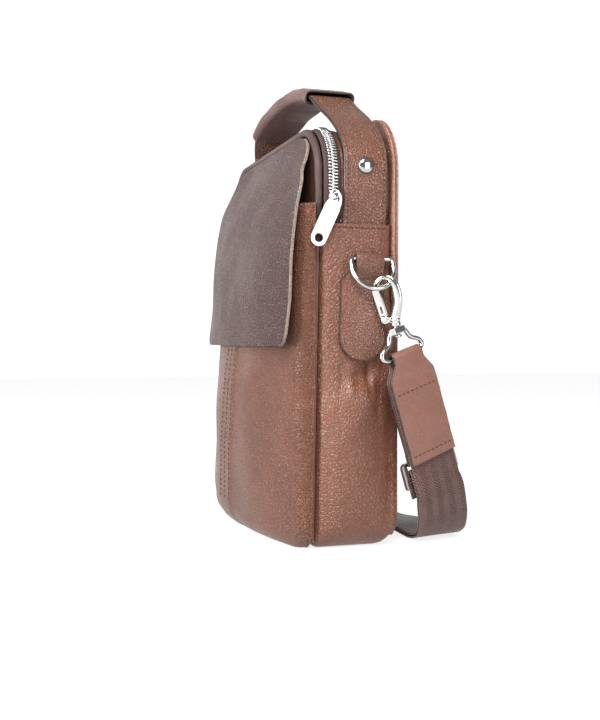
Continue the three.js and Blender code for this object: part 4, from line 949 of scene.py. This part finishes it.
pouch_creases = [(0.76, 0.42, 0.08, 0.03, 20, -0.8), (0.72, 0.3, 0.06, 0.04, -30, -0.6),
                 (0.8, 0.16, 0.1, 0.02, 10, -0.6), (-0.76, 0.4, 0.08, 0.03, -20, -0.8),
                 (0.4, 0.06, 0.3, 0.02, 3, -0.8), (-0.4, 0.07, 0.3, 0.02, -3, -0.8),
                 (0.3, 0.5, 0.1, 0.05, 25, 0.6), (0.9, 0.6, 0.05, 0.05, 0, -0.5)]


def make_pouch():
    low = pouch_base * (1 - np.cos(np.linspace(0.16, math.pi / 2, 12)))
    levels = np.concatenate([low, np.linspace(pouch_base + 3, pouch_top - 8, 62),
                             pouch_top - vec(6.6, 6, 5.4, 4, 2.5, 1, 0.3, 0)])
    outer = [[pouch_point(t, z, 0) for t in turns] for z in levels]
    inner = [[pouch_point(t, max(z, 0.4 + pouch_wall), pouch_wall) for t in turns] for z in levels]
    back_line = [[vec(p[0] * 0.98, -30.2, p[2]) for p in row] for row in (outer[0], inner[0])]
    slab("front_pouch_leather", [back_line[0], *outer], [back_line[1], *inner],
         [pouch_leather, lining, pouch_leather], slot="dark_leather", stands_for=["front_pouch"], bevel=0.5)
    hem_line = pouch_top - 2.6
    rim = Line([pouch_point(t, hem_line, 0) for t in turns[4:-4]])
    rows = [(rim, lambda s: unit(rim.at(s) - vec(0, -10, hem_line)))]
    for x in centre_rows:
        turn = x / (pouch_width / 2 - pouch_swell - pouch_corner) * pouch_flat
        row = Line([pouch_point(turn, z, 0) for z in np.linspace(pouch_base + 4, pouch_top - 1, 90)])
        rows.append((row, steady(0, -1, 0.1)))
    stitches("pouch_stitches", rows, dark_thread)


make_pouch()

# Flap: a single thick leather with raw cut edges, hung from the rolled trim
flap_rows = [(0, 2, 2), (0.05, 2.8, 3.6), (0.12, 6, 8), (0.18, 9.6, 12), (0.28, 13, 16), (0.35, 15, 18.4),
             (0.45, 16.7, 21.2), (0.58, 18.2, 24.6), (0.8, 19, 27.9), (1, 22, 30.2)]
flap_creases = [(0.5, 0.16, 0.5, 0.02, 0, -0.5), (0.75, 0.3, 0.06, 0.05, 30, 0.5),
                (0.25, 0.35, 0.08, 0.05, -30, 0.5), (0.9, 0.62, 0.05, 0.06, 10, -0.5),
                (0.12, 0.7, 0.05, 0.08, 0, 0.4)]


def flap_point(u, v, w):
    inset = 2 * bead_radius + gap
    radius, top = gusset_corner - inset, gusset_top - inset
    tall = top - flap_bottom
    down, side = v ** 0.9, 2 * u - 1
    level = top - down * tall
    above = np.clip((level - (top - radius)) / radius, 0, 1)
    arch_half = half_gusset - inset - radius * (1 - math.sqrt(max(0.0, 1 - above ** 2)))
    share = smooth(np.clip((level - (top - 1.25 * radius)) / radius * 2.2, 0, 1))
    low = np.clip((flap_corner - (level - flap_bottom)) / flap_corner, 0, 1)
    rounded = flap_width / 2 - flap_corner * (1 - math.sqrt(1 - low ** 2))
    half = share * arch_half + (1 - share) * rounded
    edge, middle = read(flap_rows, 1, down), read(flap_rows, 2, down)
    stand = edge + (middle - edge) * (1 - abs(side) ** 2.4)
    soft = 0.35 * math.sin(level / 13 + side * 2) * math.sin(side * 5 + level / 29) + float(
        crease_sum(flap_creases, np.array(u), np.array(v)))
    soft *= smooth(v / 0.1) * smooth((1 - abs(side)) / 0.1)
    return vec(side * half, seam(level) - stand - flap_wall * w - soft, level)


flap_u = 0.5 - 0.5 * np.cos(np.linspace(0, math.pi, 90))
flap_v = np.concatenate([np.linspace(0, 0.93, 90), 0.93 + 0.07 * np.sin(np.linspace(0.1, math.pi / 2, 14))])
flap_v[-1] = 1.0
slab("flap_leather", [[flap_point(u, v, 1) for u in flap_u] for v in flap_v],
     [[flap_point(u, v, 0) for u in flap_u] for v in flap_v], [flap_leather, lining, raw_edge],
     slot="dark_leather", stands_for=["flap"], bevel=0.25)

# Handle strap, its sleeve and its rivets
handle_rows = [(0.952, -0.47), (0.9, -0.2), (0.822, 0.1), (0.71, 0.42), (0.6, 0.7), (0.31, 0.94)]


def handle_line_points():
    rest = strap_rest + handle_thickness / 2
    right = [(half_gusset - tuck(z) + rest, handle_line, z)
             for z in (gusset_foot, panel_top - 1, panel_top + tuck_blend + 4, rivet_z - 8, rivet_z + 6)]
    for side, rise in handle_rows:
        drift = smooth((1 - side) / 0.4)
        y = handle_line + (handle_top_line - handle_line) * drift
        right.append((side * half_body, y, zip_top + rise * handle_rise))
    left = [(-x, y, z) for x, y, z in reversed(right)]
    return right + [(0, handle_top_line, zip_top + handle_rise)] + left


handle_path = spline(handle_line_points(), per=16)


def on_handle(s, across, rise):
    p, t = handle_path.at(s), handle_path.along(s)
    length = np.hypot(t[..., 0], t[..., 2])
    return np.stack([p[..., 0] + t[..., 2] / length * rise, p[..., 1] + across,
                     p[..., 2] - t[..., 0] / length * rise], -1)


strap_section = round_section(handle_width, handle_thickness, 1.0, 5)
edge_from = handle_width / 2 - 0.8
painted = [int(abs(a[0]) > edge_from and abs(b[0]) > edge_from)
           for a, b in zip(strap_section, np.roll(strap_section, -1, 0))]
strap_rings = [on_handle(np.full(len(strap_section), s), *strap_section.T)
               for s in np.linspace(0, handle_path.length, int(handle_path.length / 2))]
loft("handle_strap_leather", strap_rings, [handle_leather, edge_paint], marks=painted, slot="leather",
     stands_for=["handle_strap"])


def handle_row(across, start, end):
    s = np.linspace(start, end, 120)
    return Line(on_handle(s, np.full(120, across), np.full(120, handle_thickness / 2)))


def handle_lift(row):
    def lift(s):
        t = row.along(s, 1.0)
        return vec(t[2], 0, -t[0])
    return lift


handle_half = handle_path.length / 2
handle_edge_rows = []
for across in (-12.4, 12.4):
    for start, end in ((3, handle_half - sleeve_length / 2 + 4),
                       (handle_half + sleeve_length / 2 - 4, handle_path.length - 3)):
        row = handle_row(across, start, end)
        handle_edge_rows.append((row, handle_lift(row)))
stitches("handle_stitches", handle_edge_rows, dark_thread, pitch=3.4, length=2.7)


def sleeve_shape(s, across, rise):
    """The wrapped sleeve sags between soft folds and flares a little at its open ends."""
    along = (s - handle_half) / (sleeve_length / 2)
    fold = 0.45 * math.sin(s / 4.1) * math.sin(s / 11.7 + 1) + 0.3 * math.sin(s / 7.3)
    flare = 0.8 * smooth((abs(along) - 0.94) / 0.06)
    top = np.clip(rise / (sleeve_thickness / 2), -1, 1)
    wide = across * (1 + 0.012 * math.sin(s / 6.1)) + np.sign(across) * 0.2 * flare
    return wide, rise + (fold * (0.4 + 0.6 * np.cos(across / 12)) + flare * 0.6) * np.clip(top, -0.3, 1)


def make_sleeve():
    s = np.linspace(handle_half - sleeve_length / 2, handle_half + sleeve_length / 2, 150)
    layers = []
    for inset in (0, sleeve_wall):
        section = round_section(sleeve_width - 2 * inset, sleeve_thickness - 2 * inset, 4.0 - inset, 9)
        rings = []
        for at in s:
            across, rise = sleeve_shape(at, section[:, 0], section[:, 1])
            rings.append(on_handle(np.full(len(across), at), across, rise))
        layers.append(rings)
    count = 2 * (len(s) - 1) * len(section)
    marks = [0] * (count // 2) + [1] * (count // 2) + [2] * (2 * len(section))
    sleeve = shell("grip_sleeve_leather", *layers, [grip_leather, lining, edge_paint], marks=marks,
                   slot="dark_leather", stands_for=["grip_sleeve"], bevel=0.4)


make_sleeve()
dome = [(4.9, 0), (5.05, 0.25), (5.0, 0.6), (4.7, 1.0), (4.1, 1.4), (3.2, 1.75), (2.1, 1.95), (1.0, 2.05),
        (0.1, 2.08)]
rivet_x = half_gusset + strap_rest + handle_thickness + gap
for label, side in (("right", 1), ("left", -1)):
    centre, way = vec(side * (rivet_x + 0.3), rivet_y, rivet_z), vec(side, 0, 0)
    lathe(f"rivet_dome_{label}", dome, centre, way, nickel, slot="nickel", stands_for=[f"rivet_{label}"])
    lathe(f"rivet_seat_{label}", [(5.5, -0.5), (5.5, 0.0), (5.2, 0.25), (4.8, 0.25)], centre, way, edge_paint)

# Side fittings: tab, ring, hook and its loop, made on the right and mirrored to the left
tab_width, tab_foot, tab_top, tab_thickness, tab_line, tab_layer = 30.0, 123.0, 183.0, 3.3, 2.0, 1.75
loop_width, loop_line, loop_leather = 19.0, 6.6, 1.6
ring_wire, ring_width, ring_drop, ring_line, ring_bar_z, ring_tilt = 3.4, 32.0, 23.0, 8.0, 188.4, 24.0
tab_face = half_body + gap
ring_shell = ring_wire / 2 + gap + loop_leather
ring_bar = vec(tab_face + ring_shell, ring_line, ring_bar_z)


def tab_outline(inset=0.0):
    half = tab_width / 2 - inset
    neck, neck_line = loop_width / 2 - inset, loop_line - tab_line
    low = tab_foot + tab_width / 2
    top = tab_top - inset
    foot = arc(0, low, half, 180, 360, 40)
    return foot + [(half, tab_top - 7), (neck_line + neck, top), (neck_line - neck, top),
                   (-half + 1, tab_top - 9)]


def on_tab(y, z, x):
    """The tab lies on the side, pressed in a little where it is sewn."""
    pressed = 0.2 * math.sin(math.pi * np.clip((z - tab_foot) / (tab_top - tab_foot), 0, 1))
    return vec(tab_face + x + pressed, tab_line + y, z)


def loop_outline():
    bar = (ring_bar[0], ring_bar_z)
    round_over = arc(bar[0], bar[1], ring_shell, 180, 0, 28)
    foot = ring_bar_z - 13
    return round_over + [(tab_face + tab_thickness + 2.4, ring_bar_z - 8),
                         (tab_face + tab_thickness + 0.9, foot), (tab_face, foot)]


def make_ring_tab(label, flip):
    for name, low in (("tab_lower_layer", 0.0), ("tab_upper_layer", tab_layer + 0.1)):
        plate(f"{name}_{label}", tab_outline(), tab_layer, lambda x, y, z, low=low: on_tab(x, y, z + low),
              [tab_leather, edge_paint], flip=flip, bevel=0.45, slot="leather",
              stands_for=[f"ring_tab_{label}"])
    line = Line([on_tab(y, z, tab_thickness) for y, z in tab_outline(2.6)][:-1])
    stitches(f"tab_stitches_{label}", [(line, steady(1, 0, 0))], dark_thread, flip=flip)
    holes = [arc(ring_bar[0], ring_bar_z, ring_wire / 2 + gap + 0.1, 0, 345, 24)]
    plate(f"ring_loop_{label}", loop_outline(), loop_width,
          lambda x, z, y: vec(x, loop_line - loop_width / 2 + y, z), [edge_paint, tab_leather],
          holes=holes, flip=flip, bevel=0.35, slot="leather")
    cross = Line([vec(tab_face + tab_thickness + 0.95, y, ring_bar_z - 11.2) for y in
                  np.linspace(loop_line - loop_width / 2 + 1.5, loop_line + loop_width / 2 - 1.5, 20)])
    stitches(f"loop_stitches_{label}", [(cross, steady(1, 0, 0.15))], dark_thread, flip=flip)


def ring_plane(tilt):
    a = math.radians(tilt)
    across, rise = vec(0, 1, 0), vec(-math.sin(a), 0, math.cos(a))
    return across, rise, np.cross(across, rise)


def make_d_ring(label, flip):
    half, corner, straight = (ring_width - ring_wire) / 2, 2.5, 6.0
    flat = arc(half - corner, -corner, corner, 90, 0, 10) + [(half, -straight)]
    angles = np.linspace(0, -math.pi, 60)
    drop = ring_drop - ring_wire / 2 - straight
    flat += [(half * math.cos(a), -straight + drop * math.sin(a)) for a in angles[1:]]
    flat += arc(corner - half, -corner, corner, 180, 90, 10)
    across, rise, away = ring_plane(ring_tilt)
    points = [ring_bar + across * x + rise * y for x, y in flat]
    bar = [points[-1] + (points[0] - points[-1]) * k / 12 for k in range(1, 13)]
    ring_piece(f"d_ring_smooth_{label}", Line(points + bar), ring_wire / 2, away, nickel, flip=flip,
               slot="nickel", stands_for=[f"d_ring_{label}"])


# The strap hangs in a straight line from the hook's bar, its width square to its fall
fall = [(126.1, 28.3, 126.6, -0.298, 0.91, 0.29), (123.5, 49.2, 58.4, -0.298, 0.91, 0.29),
        (120, 57.6, 33, -0.2, 0.96, 0.23), (113, 62, 17, -0.17, 0.98, 0.12), (101, 65, 5.6, -0.22, 0.97, 0),
        (87, 64.5, 1.4, -0.28, 0.96, 0), (66, 60, 3.6, -0.24, 0.97, 0), (45, 55, 3, -0.12, 0.99, 0),
        (20, 53, 1.2, -0.03, 1, 0)]
fall_top, fall_end = vec(*fall[0][:3]), vec(*fall[1][:3])
end_down = unit(fall_end - fall_top)
end_width = vec(*fall[0][3:])
end_width = unit(end_width - end_down * np.dot(end_width, end_down))
end_out = np.cross(end_width, end_down)
hook_turn, hook_lean, hook_slack = (math.radians(a) for a in (40, 11.3, 7))
stirrup_wire, stirrup_span, stirrup_shift, stirrup_plate, stirrup_rise = 3.2, 31.0, 1.2, 4.4, 16.3
collar_drop, stem_diameter, hook_thickness, hook_rise, boss_radius = 2.6, 3.6, 3.8, 29.1, 2.7
lean = vec(0, -math.sin(hook_lean), math.cos(hook_lean))
swivel_axis = unit(lean - end_width * np.dot(lean, end_width))
bar_middle = fall_top - end_width * stirrup_shift
plate_rise = stirrup_rise + 0.4
swivel_play = gap + 3.2 * math.tan(hook_slack)


def mesh_parts(name, parts, look, voxel, rounds, **more):
    """Several closed bodies cast into one."""
    points, faces = [], []
    for part_points, part_faces in parts:
        start = len(points)
        part_faces = outward(np.array(part_points), part_faces)
        points += [tuple(p) for p in part_points]
        faces += [tuple(start + i for i in f) for f in part_faces]
    fuse(piece(name, points, faces, look, **more), voxel, rounds)


def tube_part(rings):
    rings = np.array(rings)
    count, around = rings.shape[:2]
    faces = grid(count, around, ring=True)
    faces += [tuple(range(around))[::-1], tuple(range((count - 1) * around, count * around))]
    return rings.reshape(-1, 3), faces


def turned_part(profile, origin, axis):
    return tube_part(turned_rings(profile, origin, axis, 28))


def box_part(size, place):
    w, h, d = (s / 2 for s in size)
    corners = [(x, y, z) for x in (-w, w) for y in (-h, h) for z in (-d, d)]
    faces = [(0, 1, 3, 2), (4, 6, 7, 5), (0, 4, 5, 1), (2, 3, 7, 6), (0, 2, 6, 4), (1, 5, 7, 3)]
    return [place(*c) for c in corners], faces


hook_rows = [(0, 0.0344, 0.11), (0.0412, 0.1718, 0.11), (0.1237, 0.4055, 0.0997), (0.134, 0.6357, 0.1031),
             (0.1031, 0.8351, 0.0928), (0, 0.9828, 0.0722), (-0.1718, 1, 0.0653), (-0.2955, 0.921, 0.0653),
             (-0.3505, 0.811, 0.0687)]


def make_hook(label, flip):
    axis = unit(swivel_axis + vec(0, math.tan(hook_slack), 0))
    facing = vec(math.sin(hook_turn), math.cos(hook_turn), 0)
    facing = unit(facing - axis * np.dot(facing, axis))
    away = np.cross(facing, axis)
    stand = stirrup_plate / 2 + swivel_play + collar_drop
    origin = bar_middle + swivel_axis * plate_rise + axis * stand

    def place(x, y, z=0.0):
        return origin + facing * x + axis * y + away * z

    bow = spline([(x * hook_rise, y * hook_rise, half * hook_rise) for x, y, half in hook_rows], per=10)
    angles = np.linspace(0, 2 * math.pi, 24, endpoint=False)
    rings = []
    for s in np.linspace(0, bow.length, 70):
        p, t = bow.at(s), bow.along(s)
        size = math.hypot(t[0], t[1])
        end = min(1.0, math.sqrt(max(0.05, (bow.length - s) / 1.4))) if bow.length - s < 1.4 else 1.0
        rings.append([place(p[0] + t[1] / size * p[2] * math.cos(a) * end,
                            p[1] - t[0] / size * p[2] * math.cos(a) * end,
                            hook_thickness / 2 * math.sin(a) * end) for a in angles])
    pivot = (-0.2234 * hook_rise, 0.0722 * hook_rise)
    cheek = [(boss_radius - 0.4, -hook_thickness / 2), (boss_radius, -hook_thickness / 2 + 0.4),
             (boss_radius, hook_thickness / 2 - 0.4), (boss_radius - 0.4, hook_thickness / 2)]
    stem = stem_diameter / 2
    head = collar_drop + stirrup_plate + 2 * swivel_play
    collar = [(0.1, 3), (2.6, 2.9), (3.3, 2.4), (3.5, 1.5), (3.2, 0.7), (2.8, 0.3), (2.8, 0.0), (3.3, -0.3),
              (3.3, -2.2), (3.0, -collar_drop), (stem, -collar_drop), (stem, -head), (2.9, -head),
              (2.9, -head - 1.2), (2.2, -head - 1.8), (0.1, -head - 1.9)]
    parts = [tube_part(rings), turned_part(cheek, place(*pivot), away),
             box_part((-pivot[0], 3.4, hook_thickness - 0.8),
                      lambda x, y, z: place(pivot[0] / 2 + x, pivot[1] - 0.3 + y, z)),
             turned_part(collar, place(0, 0), axis)]
    mesh_parts(f"hook_cast_{label}", parts, nickel, 0.28, 5, flip=flip, slot="nickel",
               stands_for=[f"hook_body_{label}"])
    pin = [(1.25, 0), (1.3, 0.2), (1.1, 0.45), (0.1, 0.5)]
    for side, way in (("front", 1), ("back", -1)):
        lathe(f"hook_pin_{side}_{label}", pin, place(*pivot) + away * way * hook_thickness / 2, away * way,
              teeth_nickel, around=20, flip=flip)


def make_hook_loop(label, flip):
    half = stirrup_span / 2
    right = [(half - 1.5, 0), (half + 1.8, 2.6), (half + 0.6, 6), (half * 0.62, 10),
             (half * 0.36, stirrup_rise)]
    shape = [(0, 0), *right, (0, stirrup_rise + 0.6), *[(-x, y) for x, y in reversed(right)]]
    track = spline([bar_middle + end_width * x + swivel_axis * y for x, y in shape], closed=True, per=10)
    away = np.cross(end_width, swivel_axis)
    rings = wire(track, stirrup_wire / 2, away, count=110, around=18)
    rings = np.concatenate([rings, rings[:1]])
    middle = bar_middle + swivel_axis * plate_rise
    high = stirrup_plate / 2
    slabs = [[middle + end_width * x + away * z + swivel_axis * rise
              for x, z in round_section(12.5, 6.4, 2.6, 6) * size]
             for rise, size in ((-high, 0.9), (0.5 - high, 1), (high - 0.5, 1), (high, 0.9))]
    mesh_parts(f"hook_loop_cast_{label}", [tube_part(rings), tube_part(slabs)], nickel, 0.3, 5, flip=flip,
               slot="nickel", stands_for=[f"hook_loop_{label}"])


for label, flip in both_sides:
    make_ring_tab(label, flip)
    make_d_ring(label, flip)
    make_hook(label, flip)
    make_hook_loop(label, flip)

# Leather strap ends, folded over the bar
strap_width, webbing_thick, layer_gap, strap_leather, glide_wire = 38.0, 1.6, 0.5, 1.8, 2.4
strap_end_width, strap_end_length, strap_end_chamfer = 25.0, 70.0, 14.0
glide_height, glide_down, sewn_tail, far_ring_drop, ring_play = 18.5, 77.0, 16.0, 9.5, 0.35
end_radius = (stirrup_wire + strap_leather) / 2 + ring_play


def end_half(down):
    wide = strap_width / 2 + 0.4
    share = np.clip((down - 4) / (strap_end_chamfer - 4), 0, 1)
    return strap_end_width / 2 + (wide - strap_end_width / 2) * share


def layer_out(down, leg):
    return end_radius + (leg - end_radius) * smooth(down / strap_end_chamfer)


def open_fold():
    leg = webbing_thick / 2 + gap + strap_leather / 2
    side = [(down, layer_out(down, leg)) for down in np.linspace(1, strap_end_length, 50)]
    over = [(-end_radius * math.sin(a), end_radius * math.cos(a)) for a in np.linspace(0, math.pi, 20)]
    return side[::-1] + over + [(down, -out) for down, out in side]


def closed_fold():
    leg = (strap_leather + gap) / 2
    radius = (glide_wire + strap_leather) / 2 + 1.5 * ring_play
    foot = glide_down - far_ring_drop
    downs = np.linspace(1, foot - 0.5, 50)
    side = [(d, max(layer_out(d, leg), leg + (radius - leg) * smooth(1 - (foot - d) / 10))) for d in downs]
    over = [(-end_radius * math.sin(a), end_radius * math.cos(a)) for a in np.linspace(math.pi, 0, 20)]
    under = [(foot + radius * math.sin(a), radius * math.cos(a)) for a in np.linspace(0, math.pi, 20)]
    inner = [(d, -out) for d, out in side]
    seam_down = 34
    return ([(seam_down - gap, -leg)] + [p for p in inner if p[0] < seam_down - 1][::-1] + over + side + under
            + [p for p in inner if p[0] > seam_down + 1][::-1] + [(seam_down + gap, -leg)])


def on_end(across, down, out):
    return fall_top + end_width * across + end_down * down + end_out * out


def make_strap_end(label, flip, rows):
    rows = np.array(rows)
    tangent = unit(np.gradient(rows, axis=0))
    rings = []
    for (down, out), (td, to) in zip(rows, tangent):
        half = end_half(max(0, down)) + 0.12 * math.sin(down / 3.3) + 0.08 * math.sin(down / 1.4)
        section = round_section(2 * half, strap_leather, 0.55, 4)
        rings.append([on_end(x, down - to * w, out + td * w) for x, w in section])
    section = round_section(2, 1, 0.1, 4)
    marks = [int(abs(a[0] + b[0]) > 1.8) for a, b in zip(section, np.roll(section, -1, 0))]
    loft(f"strap_end_leather_{label}", rings, [end_leather, edge_paint], marks=marks, slot="strap_leather",
         stands_for=[f"strap_end_{label}"], flip=flip)
    foot = strap_end_length if label == "right" else 60
    leg = webbing_thick / 2 + gap + strap_leather if label == "right" else strap_leather + gap / 2
    cross = [Line([on_end(x, down, side * (leg + 0.02)) for x in np.linspace(-17.4, 17.4, 40)])
             for down in (strap_end_chamfer + 9, foot - 5.5) for side in (1, -1)]
    lifts = [steady(*(end_out * side)) for _ in range(2) for side in (1, -1)]
    stitches(f"strap_end_stitches_{label}", list(zip(cross, lifts)), dark_thread, pitch=3.7, length=3.0,
             flip=flip)


make_strap_end("right", False, open_fold())
make_strap_end("left", True, closed_fold())

# Webbing: one length along the floor behind the bag to the far ring and back to the adjuster
layer_step = webbing_thick + layer_gap
turn_radius = glide_wire / math.sqrt(2) + webbing_thick / 2 + gap
sewn_from = strap_end_chamfer + 4


def webbing_frames():
    rows = [np.array(r[:3]) for r in fall[2:]]
    widths = [np.array(r[3:]) for r in fall[2:]]
    below = glide_down + glide_height / 2 + 2
    mirror = vec(-1, 1, 1)
    straight = [fall_top + end_down * d for d in (sewn_from, 37, 56, 68, glide_down, below)]
    far_side = [fall_top + end_down * glide_down, fall_top + end_down * below, *rows]
    turned = [p * mirror for p in far_side][::-1]
    turned_widths = [w * mirror for w in [end_width, end_width, *widths]][::-1]
    middle = vec(0, rows[-1][1], rows[-1][2])
    across = np.array([end_width] * 6 + widths + [vec(0, 1, 0)] + turned_widths)
    line = spline(straight + rows + [middle] + turned, per=30)

    def frame_at(s):
        p, t = line.at(s), line.along(s, 1.0)
        row = line.knot(s)
        low = min(int(row), len(across) - 2)
        w = across[low] * (1 - row + low) + across[low + 1] * (row - low)
        w = unit(w - t * np.dot(w, t))
        return p, t, w, np.cross(t, w)

    def near(s):
        return smooth(1 - (line.length - s) / 25)

    frames = []
    for s in np.linspace(0, line.length, 420):
        p, t, w, n = frame_at(s)
        frames.append((p + n * turn_radius * near(s), w, n))
    p, t, w, n = frame_at(line.length)
    for a in np.linspace(0, math.pi, 20)[1:-1]:
        way = n * math.cos(a) + t * math.sin(a)
        frames.append((p + way * turn_radius, w, way))
    bar_along = glide_down - sewn_from
    for s in np.linspace(line.length, bar_along, 400):
        p, t, w, n = frame_at(s)
        frames.append((p + n * (-layer_step - (turn_radius - layer_step) * near(s)), w, -n))
    p, t, w, n = frame_at(bar_along)
    centre = p + n * (-layer_step - turn_radius)
    for a in np.linspace(0, math.pi, 20)[1:]:
        way = -n * math.cos(a) + t * math.sin(a)
        frames.append((centre - way * turn_radius, w, way))
    fold = frames[-1]
    for step in np.linspace(0.1, 1, 10):
        frames.append((fold[0] + t * step * sewn_tail, w, fold[2]))
    return frames


def make_webbing():
    section = round_section(strap_width, webbing_thick, 0.7, 3)
    rings = [[p + w * x + n * y for x, y in section] for p, w, n in webbing_frames()]
    return loft("webbing_strap", rings, webbing_cloth, slot="webbing", stands_for=["webbing"])


make_webbing()

# Some pieces keep the frame's own shape and get eased edges and a better finish
kept = {"front_wall": 0.3, "pull_tab": 0.35, "zip_slider": 0.35, "zip_stop_right": 0.4, "zip_stop_left": 0.4,
        "strap_adjuster": 0.75, "strap_ring_left": 0.3, "hook_gate_right": 0.45, "hook_gate_left": 0.45}
for name, width in kept.items():
    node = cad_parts[name]
    for held in node.material_slots:
        held.material = wall_leather if name == "front_wall" else nickel
    soften(node, width, segments=3, angle=30)
    node.data.polygons.foreach_set("use_smooth", [False] * len(node.data.polygons))

# Floor, light and tone
floor = bpy.data.meshes.new("floor")
floor.from_pydata([(-3, -3, 0), (3, -3, 0), (3, 3, 0), (-3, 3, 0)], [], [(0, 1, 2, 3)])
ground = bpy.data.objects.new("floor", floor)
bpy.context.scene.collection.objects.link(ground)
paper, w, surface = material("white paper")
surface.inputs["Base Color"].default_value = (0.3, 0.3, 0.3, 1)
surface.inputs["Roughness"].default_value = 0.9
surface.inputs["Specular IOR Level"].default_value = 0.1
surface.inputs["Emission Color"].default_value = (1, 1, 1, 1)
surface.inputs["Emission Strength"].default_value = 0.8
floor.materials.append(paper)


def softbox(name, place, target, size, power):
    light = bpy.data.lights.new(name, "AREA")
    light.shape = "RECTANGLE"
    light.size, light.size_y = size
    light.energy = power
    lamp = bpy.data.objects.new(name, light)
    lamp.location = place
    lamp.rotation_euler = (Vector(target) - Vector(place)).to_track_quat("-Z", "Y").to_euler()
    bpy.context.scene.collection.objects.link(lamp)


softbox("key", (0.9, -0.35, 1.0), (0.05, 0, 0.16), (0.6, 0.5), 24)
softbox("left", (0.38, -1.2, 0.4), (0.05, 0, 0.15), (0.35, 0.9), 30)
softbox("card", (1.3, 0.55, 0.3), (0.1, 0, 0.16), (0.5, 0.8), 6)
world = bpy.data.worlds.new("studio")
bpy.context.scene.world = world
world.use_nodes = True
w = Wiring(world.node_tree)
way = w.node("ShaderNodeTexCoord").outputs["Generated"]
ahead = (-0.955, 0.297, 0.0)
behind = w.node("ShaderNodeVectorMath", {0: way, 1: ahead}, operation="DOT_PRODUCT")
glow = w.span(behind.outputs["Value"], 0.3, 0.75, 0.22, 1.15)
world.node_tree.links.new(glow, world.node_tree.nodes["Background"].inputs["Strength"])
world.node_tree.nodes["Background"].inputs["Color"].default_value = (1, 1, 1, 1)
bpy.context.scene.view_settings.view_transform = "Standard"
